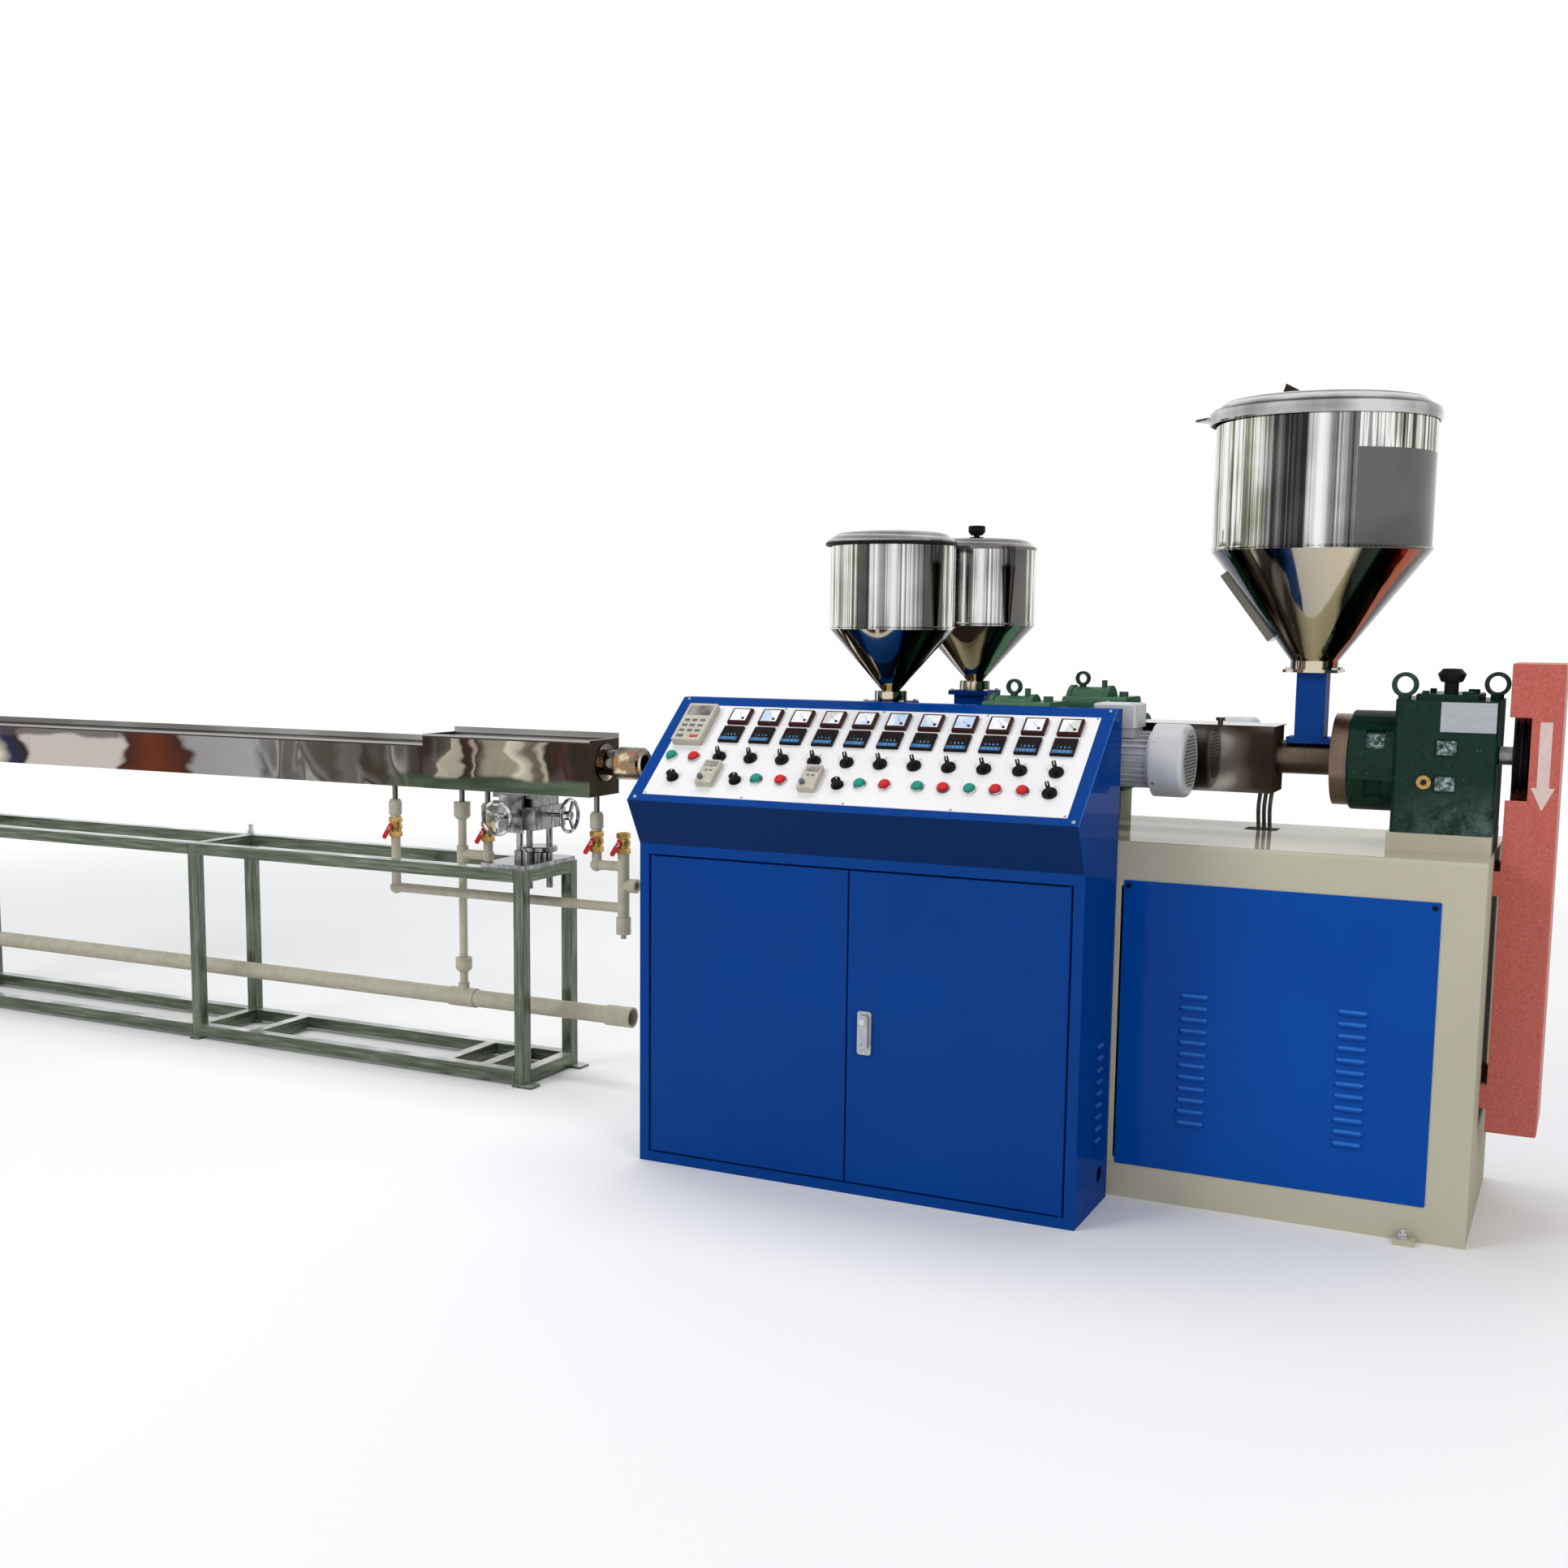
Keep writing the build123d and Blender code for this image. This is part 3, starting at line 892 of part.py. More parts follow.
# The whole line is centred on the origin and each node is written to its own file.
solids = [s for pieces in parts.values() for piece in pieces for s in piece.solids()]
span = Compound(children=[Pos(0, 0, 0) * s for s in solids]).bounding_box()
home = Pos(-(span.min.X + span.max.X) / 2, -(span.min.Y + span.max.Y) / 2, -span.min.Z)
for name, pieces in parts.items():
    flat = [home * s for piece in pieces for s in piece.solids()]
    whole = flat[0] if len(flat) == 1 else Compound(children=flat)
    export_step(whole, f"parts/{name}.step")
print(len(parts), "nodes, origin at", -home.position.X, -home.position.Y, -home.position.Z)
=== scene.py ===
from math import atan2, cos, pi, radians, sin

import bmesh
import bpy
from mathutils import Matrix, Vector


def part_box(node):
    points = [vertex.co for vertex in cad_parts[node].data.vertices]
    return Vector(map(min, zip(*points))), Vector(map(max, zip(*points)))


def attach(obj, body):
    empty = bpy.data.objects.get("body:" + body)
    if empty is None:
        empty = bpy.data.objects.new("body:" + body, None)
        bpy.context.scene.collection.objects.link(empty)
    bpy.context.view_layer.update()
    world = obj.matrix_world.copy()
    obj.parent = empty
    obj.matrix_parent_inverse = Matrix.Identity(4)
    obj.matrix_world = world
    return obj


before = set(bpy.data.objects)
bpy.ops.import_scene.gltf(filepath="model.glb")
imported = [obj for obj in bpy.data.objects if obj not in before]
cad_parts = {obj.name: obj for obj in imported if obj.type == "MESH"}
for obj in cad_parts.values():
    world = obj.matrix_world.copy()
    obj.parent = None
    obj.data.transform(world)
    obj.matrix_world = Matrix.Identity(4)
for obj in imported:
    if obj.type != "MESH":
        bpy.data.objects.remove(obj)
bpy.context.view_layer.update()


# Control cabinet: a folded and welded steel cabinet, powder coated royal blue, that stands on the
# floor. Its front left foot is the corner that every place in this file is counted from, in
# millimetres: x along the line to the right, y from the doors to the back, z up.
desk_overhang = 73.0
cabinet_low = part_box("cabinet_sides")[0]
corner = Vector((cabinet_low.x, cabinet_low.y + desk_overhang / 1000, 0.0))


def at(x, y, z):
    return corner + Vector((x, y, z)) / 1000


class Grade:
    """One socket of a node tree, so that masks and mixes read as sums."""

    def __init__(self, nodes, socket):
        self.nodes = nodes
        self.socket = socket

    def work(self, operation, first, second=0.0):
        return self.nodes.make("ShaderNodeMath", {"operation": operation}, {0: first, 1: second})

    def __add__(self, other):
        return self.work("ADD", self, other)

    def __radd__(self, other):
        return self.work("ADD", other, self)

    def __sub__(self, other):
        return self.work("SUBTRACT", self, other)

    def __rsub__(self, other):
        return self.work("SUBTRACT", other, self)

    def __mul__(self, other):
        return self.work("MULTIPLY", self, other)

    def __rmul__(self, other):
        return self.work("MULTIPLY", other, self)

    def __gt__(self, other):
        return self.work("GREATER_THAN", self, other)


class Nodes:
    """A node tree that one method fills with nodes of any kind."""

    def __init__(self, tree):
        self.tree = tree

    def make(self, kind, settings, sockets, out=0):
        node = self.tree.nodes.new(kind)
        for key, value in settings.items():
            if key == "stops":
                ramp = node.color_ramp
                while len(ramp.elements) < len(value):
                    ramp.elements.new(1.0)
                for element, (spot, shade) in zip(ramp.elements, value):
                    element.position = spot
                    element.color = (*shade, 1)
            else:
                setattr(node, key, value)
        for key, value in sockets.items():
            self.feed(node.inputs[key], value)
        return Grade(self, node.outputs[out])

    def feed(self, socket, value):
        if isinstance(value, Grade):
            self.tree.links.new(value.socket, socket)
        elif hasattr(value, "__len__") and len(value) == 3 and len(socket.default_value) == 4:
            socket.default_value = (*value, 1)
        else:
            socket.default_value = value


class Finish(Nodes):
    """A surface finish: one Principled shader and the nodes that vary it."""

    def __init__(self, name, colour, roughness, metallic=0.0, **fixed):
        self.material = bpy.data.materials.new(name)
        self.material.use_nodes = True
        super().__init__(self.material.node_tree)
        self.shader = self.tree.nodes["Principled BSDF"]
        self.vary("Base Color", colour)
        self.vary("Roughness", roughness)
        self.vary("Metallic", metallic)
        for key, value in fixed.items():
            self.vary(key.replace("_", " ").title().replace("Ior", "IOR"), value)
        self.place = self.make("ShaderNodeTexCoord", {}, {}, "Object")

    def vary(self, key, value):
        self.feed(self.shader.inputs[key], value)

    def noise(self, scale, detail=3.0, stretch=(1, 1, 1), rough=0.5):
        spot = self.make("ShaderNodeMapping", {}, {"Vector": self.place, "Scale": stretch})
        return self.make("ShaderNodeTexNoise", {},
                         {"Vector": spot, "Scale": scale, "Detail": detail, "Roughness": rough})

    def span(self, value, low, high, new_low=0.0, new_high=1.0):
        return self.make("ShaderNodeMapRange", {"clamp": True},
                         {0: value, 1: low, 2: high, 3: new_low, 4: new_high})

    def blend(self, factor, first, second):
        return self.make("ShaderNodeMix", {"data_type": "RGBA"},
                         {0: factor, 6: first, 7: second}, 2)

    def ramp(self, value, *stops):
        return self.make("ShaderNodeValToRGB", {"stops": stops}, {0: value})

    def along(self, axis):
        return self.make("ShaderNodeSeparateXYZ", {}, {0: self.place}, axis)

    def faces(self, axis):
        normal = self.make("ShaderNodeNewGeometry", {}, {}, "Normal")
        return self.make("ShaderNodeSeparateXYZ", {}, {0: normal}, axis)

    def bump(self, height, depth, strength):
        self.vary("Normal", self.make("ShaderNodeBump", {}, {
            "Height": height, "Distance": depth, "Strength": strength}))

    def grain(self, scale, detail, depth, strength):
        # A fine even roughness that the hand would feel.
        self.bump(self.noise(scale, detail), depth, strength)

    def mottle(self, scale, detail, first, second, low=0.3, high=0.7):
        # Lets the colour drift between two tones.
        cloud = self.span(self.noise(scale, detail), low, high)
        self.vary("Base Color", self.blend(cloud, first, second))

    def uneven(self, scale, detail, low, high):
        # Lets the gloss drift between two roughnesses.
        self.vary("Roughness", self.span(self.noise(scale, detail), 0.3, 0.7, low, high))


def wear(finish, *names):
    # Gives CAD nodes their finish.
    for name in names:
        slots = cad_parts[name].data.materials
        slots.clear()
        slots.append(finish.material)


def painted(name, colour, shade, roughness, peel=0.00012, over=None, painted_underside_shade=None):
    # Sprayed and baked paint: faint cloudy tone, orange peel and uneven gloss.
    # Faces that lean up to the lamps may take a painted highlight, and faces that lean down to the
    # floor a painted shade.
    paint = Finish(name, colour, roughness,
                   specular_ior_level=0.0, coat_weight=0.15, coat_roughness=0.08)
    for lean, start, end in ((over, 0.1, 0.6), (painted_underside_shade, -0.2, -0.45)):
        if lean:
            painted_light_mask = paint.span(paint.faces("Z"), start, end)
            colour = paint.blend(painted_light_mask, colour, lean)
            shade = paint.blend(painted_light_mask, shade, lean)
    paint.mottle(2.3, 4, colour, shade)
    paint.uneven(9, 5, roughness - 0.06, roughness + 0.08)
    paint.grain(420, 2, peel, 0.5)
    return paint


royal = ((0.0006, 0.046, 0.245), (0.0005, 0.039, 0.215), 0.34)
# A painted highlight for louvre tops and a painted shade for the desk's underside.
painted_louvre_highlight = (0.035, 0.125, 0.39)
shaded_blue = (0.0004, 0.020, 0.095)
wear(painted("cabinet_blue_paint", *royal),
     "cabinet_floor", "cabinet_back", "door_frame", "left_door", "right_door")
# The louvre tops on the cabinet sides take a painted highlight.
wear(painted("side_blue_paint_with_painted_highlight", *royal, over=painted_louvre_highlight), "cabinet_sides")
# The underside of the desk takes a painted shade.
wear(painted("console_blue_paint_with_painted_shade", *royal, painted_underside_shade=shaded_blue), "console_shell")


# Door handle: a cast grey lever handle with a key barrel, let into the right door. Two screws hold
# it, and the face of the lock is bright turned steel with a key slot.
def piece(name, mesh, finish, body):
    # Turns a bmesh into a named piece that rides on a body.
    data = bpy.data.meshes.new(name)
    bmesh.ops.recalc_face_normals(mesh, faces=mesh.faces)
    mesh.to_mesh(data)
    mesh.free()
    data.materials.append(finish.material)
    thing = bpy.data.objects.new(name, data)
    bpy.context.scene.collection.objects.link(thing)
    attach(thing, body)


def rounded(mesh, edges, width, segments=2):
    bmesh.ops.bevel(mesh, geom=edges, offset=width, offset_type="OFFSET", segments=segments,
                    profile=0.5, affect="EDGES", material=-1)


def edges_of(verts):
    # Each edge at these corners once, always in the same order.
    return list(dict.fromkeys(e for v in verts for e in v.link_edges))


def lump(mesh, place, size, edge=0.0, segments=2):
    # A block with rounded edges: place is its middle as a matrix, size in millimetres.
    scale = Matrix.Diagonal((*[side / 1000 for side in size], 1))
    made = bmesh.ops.create_cube(mesh, size=1.0, matrix=place @ scale)
    if edge:
        rounded(mesh, edges_of(made["verts"]), edge / 1000, segments)


def disc(mesh, place, radius, height, sides=24, edge=0.0):
    # A round that stands on place, its axis along the place's Z, in millimetres.
    # Six sides make a bolt head or nut. The edge rounds its top rim.
    half = height / 2000
    middle = place @ Matrix.Translation((0, 0, half))
    made = bmesh.ops.create_cone(mesh, cap_ends=True, segments=sides, radius1=radius / 1000,
                                 radius2=radius / 1000, depth=height / 1000, matrix=middle)
    if edge:
        flatten = middle.inverted()
        rim = [e for e in edges_of(made["verts"])
               if all(abs((flatten @ v.co).z - half) < 1e-6 for v in e.verts)]
        rounded(mesh, rim, edge / 1000)


def stood(x, y, z):
    # An upright place.
    return Matrix.Translation(at(x, y, z))


def facing(spot, direction):
    # A place at spot whose Z points along direction.
    turn = Vector(direction).to_track_quat("Z", "Y").to_matrix().to_4x4()
    return Matrix.Translation(spot) @ turn


to_front = (0, -1, 0)
handle_x = 677.5
key_z = 472
cast_grey = Finish("cast_grey", (0.42, 0.44, 0.47), 0.38, 0.85)
cast_grain = cast_grey.noise(700, 3)
cast_grey.vary("Roughness", cast_grey.span(cast_grain, 0.2, 0.8, 0.3, 0.48))
cast_grey.mottle(90, 4, (0.38, 0.40, 0.43), (0.47, 0.49, 0.52))
cast_grey.bump(cast_grain, 0.0001, 0.5)
wear(cast_grey, "door_handle")
bright_steel = Finish("bright_steel", (0.62, 0.62, 0.63), 0.22, 1.0)
bright_steel.uneven(60, 4, 0.16, 0.34)
bright_steel.mottle(60, 4, (0.55, 0.55, 0.56), (0.68, 0.68, 0.69))
bright_steel.grain(900, 2, 0.00006, 0.4)
lock = bmesh.new()
disc(lock, facing(at(handle_x, -18, key_z), to_front), 8.5, 2.5, 32, 0.6)
lump(lock, stood(handle_x, -20.6, key_z), (2.2, 0.8, 9))
for screw_z in (389, 494):
    disc(lock, facing(at(handle_x, -6, screw_z), to_front), 3.2, 1.6, 16, 0.5)
piece("handle_lock", lock, bright_steel, "right_door")


# Control panel: a white coated steel plate, screwed onto the sloping desk along its edges. Places
# on it are counted across the desk and up the slope from the desk's lower edge.
desk_lip_z = 1025
desk_rise, desk_run = 267.0, 326.0
plate_face = 2
slope = Matrix.Rotation(atan2(desk_rise, desk_run), 4, "X")
desk_place = stood(0, -desk_overhang, desk_lip_z) @ slope


def on_desk(x, v, lift):
    # A place on the desk, in millimetres, with lift counted out from its sheet.
    return desk_place @ Matrix.Translation((x / 1000, v / 1000, lift / 1000))


panel_white = Finish("panel_white", (0.80, 0.79, 0.795), 0.3, specular_ior_level=0.2)
panel_white.mottle(3, 4, (0.80, 0.79, 0.795), (0.745, 0.73, 0.74))
panel_white.uneven(14, 5, 0.18, 0.32)
panel_white.grain(500, 2, 0.00005, 0.4)
wear(panel_white, "control_panel")
screws = bmesh.new()
for x in (45, 336, 627, 918, 1209):
    for v in (30, 381):
        disc(screws, on_desk(x, v, plate_face), 3.4, 1.6, 16, 0.6)
for x in (20, 1234):
    disc(screws, on_desk(x, 13, 0), 5.5, 2.4, 24, 1.1)
    disc(screws, on_desk(x, 413, 0), 4.5, 2.0, 20, 0.9)
piece("panel_screws", screws, cast_grey, "line")


# Panel meters: dark brown moulded cases with a white dial, a needle and a round cover over its
# pivot. They stand in a row along the top of the panel, let into square holes.
row_count = 11
meter_x, meter_pitch = 214.5, 93.5
dial_v, dial_lift = 339, 14.4
pivot_off, pivot_v = 14, 325
scale_reach = 33.5


def turned(place, degrees):
    return place @ Matrix.Rotation(radians(degrees), 4, "Z")


def shifted(place, x, y):
    return place @ Matrix.Translation((x / 1000, y / 1000, 0))


meter_brown = Finish("meter_brown", (0.040, 0.009, 0.008), 0.3, specular_ior_level=0.1)
meter_brown.mottle(50, 3, (0.035, 0.008, 0.007), (0.047, 0.011, 0.010))
meter_brown.grain(600, 2, 0.00005, 0.4)
meter_brown.uneven(40, 4, 0.24, 0.4)
wear(meter_brown, "panel_meters")
card = (0.80, 0.82, 0.85)
dial_white = Finish("dial_white", card, 0.12, specular_ior_level=0.3)
# Blue-grey and grey patches on the white card are painted shade.
dial_white.vary("Base Color", dial_white.ramp(
    dial_white.noise(8, 2),
    (0.40, (0.50, 0.62, 0.80)), (0.46, card), (0.58, card), (0.60, (0.62, 0.60, 0.58))))
print_black = Finish("print_black", (0.012, 0.012, 0.013), 0.45, specular_ior_level=0.15)
print_black.uneven(80, 3, 0.35, 0.55)
print_black.mottle(80, 3, (0.010, 0.010, 0.011), (0.016, 0.016, 0.017))
dials = bmesh.new()
marks = bmesh.new()
for i in range(row_count):
    x = meter_x + meter_pitch * i
    pivot_x = x + pivot_off
    lump(dials, on_desk(x, dial_v, dial_lift), (47.5, 45, 0.8), 0.3, 1)
    disc(marks, on_desk(pivot_x, pivot_v, dial_lift + 0.4), 4.2, 1.4, 20, 0.5)
    needle = turned(on_desk(pivot_x, pivot_v, dial_lift + 0.8), 128 + 3 * ((i * 5) % 4))
    lump(marks, shifted(needle, 14, 0), (28, 0.7, 0.4))
    for tick in range(13):
        arm = turned(on_desk(pivot_x, pivot_v, dial_lift + 0.5), 92 + tick * 7.2)
        length = 4.0 if tick % 3 == 0 else 2.2
        lump(marks, shifted(arm, scale_reach - length / 2, 0), (length, 0.45, 0.25))
piece("meter_dials", dials, dial_white, "line")
piece("meter_marks", marks, print_black, "line")


# Temperature controllers: black moulded cases with a smoked window and two rows of lit blue
# figures. They are clipped into the panel, one under each meter.
controller_x, controller_pitch = 213, 93.6
window_v, strip_v, upper_v = 274, 247, 262
window_lift = 11.3
case_black = Finish("case_black", (0.009, 0.008, 0.009), 0.36, specular_ior_level=0.06)
case_black.uneven(60, 4, 0.3, 0.5)
case_black.mottle(60, 4, (0.008, 0.007, 0.008), (0.012, 0.011, 0.012))
case_black.grain(900, 2, 0.00008, 0.5)
wear(case_black, "temperature_controllers", "rotary_knobs", "lid_knob", "breather_cap")
smoked = Finish("smoked_window", (0.014, 0.010, 0.009), 0.2, specular_ior_level=0.03)
smoked.mottle(50, 3, (0.011, 0.008, 0.007), (0.018, 0.013, 0.012))
smoked.uneven(50, 3, 0.15, 0.3)


def lit(name, colour, roughness, strength, scale, dim, bright):
    # A lamp behind tinted plastic, a little brighter in places.
    glow = Finish(name, colour, roughness, emission_strength=strength)
    cloud = glow.span(glow.noise(scale, 2), 0.3, 0.7)
    glow.vary("Emission Color", glow.blend(cloud, dim, bright))
    return glow


lit_blue = lit("lit_blue", (0.03, 0.20, 0.45), 0.3, 0.55, 120,
               (0.05, 0.30, 0.62), (0.10, 0.45, 0.80))
strip_blue = lit("strip_blue", (0.01, 0.07, 0.19), 0.25, 0.25, 60,
                 (0.01, 0.08, 0.22), (0.02, 0.14, 0.34))
# Each bar of a figure has its place and whether it stands upright. A figure that isn't listed
# lights every bar.
bars = {"a": (0, 3.6, 0), "b": (1.9, 1.8, 1), "c": (1.9, -1.8, 1), "d": (0, -3.6, 0),
        "e": (-1.9, -1.8, 1), "f": (-1.9, 1.8, 1), "g": (0, 0, 0)}
figures = {"0": "abcdef", "1": "bc", "2": "abged", "5": "afgcd", "6": "afgcde", "7": "abc",
           "9": "abcfgd"}
upper_share = 0.7
windows = bmesh.new()
strips = bmesh.new()
digits = bmesh.new()
for i in range(row_count):
    x = controller_x + controller_pitch * i
    lump(windows, on_desk(x, window_v, window_lift), (53, 42, 0.7), 0.3, 1)
    lump(strips, on_desk(x, strip_v, window_lift), (53, 12.5, 0.8), 0.3, 1)
    for n, figure in enumerate(f"{150 + (i * 7) % 60}0"):
        left = x - 16 + 10.5 * n
        for bar in figures.get(figure, bars):
            dx, dv, upright = bars[bar]
            size = (0.9, 3.0, 0.4) if upright else (3.0, 0.9, 0.4)
            lump(digits, on_desk(left + dx, strip_v + dv, window_lift + 0.6), size)
            lump(digits, on_desk(left + dx * upper_share, upper_v + dv * upper_share,
                                 window_lift + 0.5), size)
piece("controller_windows", windows, smoked, "line")
piece("controller_strips", strips, strip_blue, "line")
piece("controller_figures", digits, lit_blue, "line")


# Rotary switches and speed knobs: black mouldings with a white pointer line let into the grip. Each
# is held by a nut behind the panel, which has three marks printed round a switch.
switch_turn = 24
switch_face, knob_face = 24, 22
switch_spots = [(211.8 + 93.9 * i, 178) for i in range(row_count)] + [(1152, 104)]
knob_spots = ((103.5, 92), (293.3, 92), (589.3, 95))
print_white = Finish("print_white", (0.72, 0.72, 0.72), 0.4, specular_ior_level=0.2)
print_white.mottle(80, 3, (0.66, 0.66, 0.66), (0.76, 0.76, 0.76))
print_white.uneven(80, 3, 0.35, 0.5)
pointers = bmesh.new()
switch_marks = bmesh.new()
for x, v in switch_spots:
    grip = turned(on_desk(x, v, switch_face + 0.1), switch_turn)
    lump(pointers, shifted(grip, 0, 15), (1.8, 15, 0.5))
    for tick in (-42, 0, 42):
        arm = turned(on_desk(x, v, plate_face + 0.1), switch_turn + tick)
        lump(switch_marks, shifted(arm, 0, 28.5), (1.1, 5, 0.3))
for x, v in knob_spots:
    lump(pointers, on_desk(x, v + 7, knob_face + 0.1), (1.4, 9, 0.5))
piece("knob_pointers", pointers, print_white, "line")
piece("switch_marks", switch_marks, print_black, "line")


# Push buttons: moulded green and red caps in chromed bezels. Each bezel is a turned ring, screwed
# up against the panel from behind.
def moulded(name, colour, roughness):
    # Moulded plastic: faint flow marks and a satin skin.
    cap = Finish(name, colour, roughness,
                 specular_ior_level=0.2, coat_weight=0.05, coat_roughness=0.1)
    cap.mottle(30, 3, colour, tuple(c * 0.86 for c in colour), 0.35, 0.65)
    cap.uneven(70, 3, roughness - 0.06, roughness + 0.08)
    cap.grain(700, 2, 0.00005, 0.4)
    return cap


wear(moulded("button_green", (0.004, 0.25, 0.185), 0.3), "start_buttons")
wear(moulded("button_red", (0.55, 0.012, 0.014), 0.3), "stop_buttons")
green_spots = ((65.6, 175), (353.3, 100), (649.4, 102), (808, 103), (946, 104))
red_spots = ((135, 174), (423.9, 100), (718.6, 103), (876.4, 103), (1013.5, 106), (1082.7, 107))
bezel_radius = 17.2
# Each step of the ring's profile rises by so many millimetres and scales the ring.
bezel_steps = ((4.5, 1.0), (1.2, 0.955), (0.0, 0.925), (-3.0, 0.98))
bezels = bmesh.new()
for x, v in green_spots + red_spots:
    place = on_desk(x, v, plate_face)
    ring = bmesh.ops.create_circle(bezels, cap_ends=False, segments=40,
                                   radius=bezel_radius / 1000, matrix=place)
    edges = edges_of(ring["verts"])
    out = place.to_3x3() @ Vector((0, 0, 1))
    for rise, reach in bezel_steps:
        made = bmesh.ops.extrude_edge_only(bezels, edges=edges)["geom"]
        verts = [g for g in made if isinstance(g, bmesh.types.BMVert)]
        bmesh.ops.translate(bezels, verts=verts, vec=out * (rise / 1000))
        centre = sum((vert.co for vert in verts), Vector()) / len(verts)
        bmesh.ops.scale(bezels, verts=verts, vec=(reach, reach, reach),
                        space=Matrix.Translation(-centre))
        edges = [g for g in made if isinstance(g, bmesh.types.BMEdge)]
chrome = Finish("chrome", (0.55, 0.55, 0.56), 0.08, 1.0)
# Dark and bright patches in the chrome are painted reflections.
chrome.vary("Base Color", chrome.ramp(
    chrome.noise(38, 3),
    (0.38, (0.10, 0.10, 0.105)), (0.5, (0.42, 0.42, 0.43)), (0.6, (0.75, 0.75, 0.76))))
chrome.uneven(50, 4, 0.05, 0.16)
piece("button_bezels", bezels, chrome, "line")


# Drive units: beige moulded housings with a grey window and rubber keys, screwed to the panel. The
# large one is a keypad, and the two small ones each have a black knob.
keypad_face, unit_face = 24.6, 20
wear(moulded("drive_beige", (0.50, 0.46, 0.38), 0.42), "drive_units")
screen = Finish("grey_screen", (0.22, 0.21, 0.20), 0.12, specular_ior_level=0.3)
screen.mottle(22, 3, (0.36, 0.34, 0.33), (0.10, 0.08, 0.07), 0.35, 0.65)
screens = bmesh.new()
keys = bmesh.new()
lump(screens, on_desk(93.5, 341, 24.4), (72, 40, 1.2), 0.5)
for row in range(3):
    for column in range(3):
        key = on_desk(69 + 24 * column, 300 - 21 * row, keypad_face)
        lump(keys, key, (15, 8, 1.8), 0.7)
lump(keys, on_desk(71, 236, keypad_face), (20, 10, 1.8), 0.8)
for x in (211, 511):
    lump(screens, on_desk(x, 134, unit_face + 0.3), (38, 20, 1.0), 0.4)
    disc(keys, on_desk(x - 12, 80, unit_face), 7, 11, 24, 1.2)
    for key_x in (x - 6, x + 8):
        lump(keys, on_desk(key_x, 110, unit_face + 0.4), (8, 5, 1.2), 0.4)
piece("drive_screens", screens, screen, "line")
piece("drive_keys", keys, moulded("key_grey", (0.10, 0.12, 0.14), 0.5), "line")
stop_key = bmesh.new()
lump(stop_key, on_desk(114, 236, keypad_face), (24, 10, 1.8), 0.8)
piece("drive_stop_key", stop_key, moulded("key_red", (0.55, 0.05, 0.06), 0.45),
      "line")


# Base: a welded plate frame in gloss cream enamel, with bright blue louvred covers held by turn
# screws. A thin cream stile closes it beside the cabinet, and lugs bolt it to the floor.
base_cream = painted("base_cream_paint", (0.50, 0.475, 0.365), (0.455, 0.43, 0.325), 0.2, 0.00018)
base_cream.vary("Coat Weight", base_cream.span(base_cream.faces("Z"), 0.5, 0.9, 0.03, 0.7))
wear(base_cream, "base_end_frames", "base_rails", "base_top_plate")
# The louvre tops on the covers take a painted highlight.
wear(painted("cover_blue_paint_with_painted_highlight", (0.001, 0.064, 0.345), (0.0008, 0.056, 0.31), 0.36,
             over=(0.03, 0.17, 0.56)), "base_panels")
stile_spot, stile_size = (1240, 320.8, 469.5), (38, 2.4, 760)
stile = bmesh.new()
lump(stile, stood(*stile_spot), stile_size, 0.6, 1)
piece("base_stile", stile, base_cream, "line")
cover_y, cover_screw_z = 319.5, 834
turn_screws = bmesh.new()
for x in (1279, 2020):
    disc(turn_screws, facing(at(x, cover_y, cover_screw_z), to_front), 6.5, 4, 28, 1.2)
    disc(turn_screws, facing(at(x, cover_y - 4, cover_screw_z), to_front), 4, 3, 24, 0.8)
piece("cover_screws", turn_screws, case_black, "line")


def stack(mesh, x, y, z, *rounds):
    # Washers, nuts and studs one on another: radius, height, sides and rounded edge of each.
    for radius, height, sides, edge in rounds:
        disc(mesh, stood(x, y, z), radius, height, sides, edge)
        z += height


lug_x, lug_top = 1990, 14
lug_bolts = bmesh.new()
for y in (298, 982):
    stack(lug_bolts, lug_x, y, lug_top, (15, 3, 28, 0.6), (12, 11, 6, 1.2), (7, 9, 20, 1.0))
piece("lug_bolts", lug_bolts, bright_steel, "line")


# Gearbox and reducers: iron castings under thick dark green enamel, bolted down on the base. The
# lid is held by six bolts, a bare tin plate is riveted on, and pockets show the rough casting.
axis_y, axis_z = 640, 1162


def enamel(name, dark, light, foot=None):
    # Grey dust has rubbed into the casting near its foot, most towards the pulley.
    green = Finish(name, dark, 0.25, specular_ior_level=0.0, coat_weight=0.3, coat_roughness=0.06)
    casting = green.noise(55, 6, rough=0.6)
    chips = green.span(green.noise(95, 3), 0.69, 0.75, 0.0, 0.25)
    tone = green.blend(green.span(casting, 0.3, 0.75), dark, light)
    tone = green.blend(chips, tone, (0.40, 0.48, 0.46))
    if foot:
        low = green.span(green.along("Z"), foot, foot + 0.13, 0.42, 0.0)
        towards = green.span(green.along("X"), at(1900, 0, 0).x, at(2080, 0, 0).x, 0.25, 1.0)
        dust = low * towards * green.span(green.noise(26, 6, rough=0.75), 0.40, 0.62)
        tone = green.blend(dust, tone, (0.20, 0.27, 0.26))
    green.vary("Base Color", tone)
    green.vary("Coat Weight", green.span(green.faces("X"), 0.5, 0.9, 0.3, 0.03))
    green.bump(casting, 0.0016, 0.45)
    return green


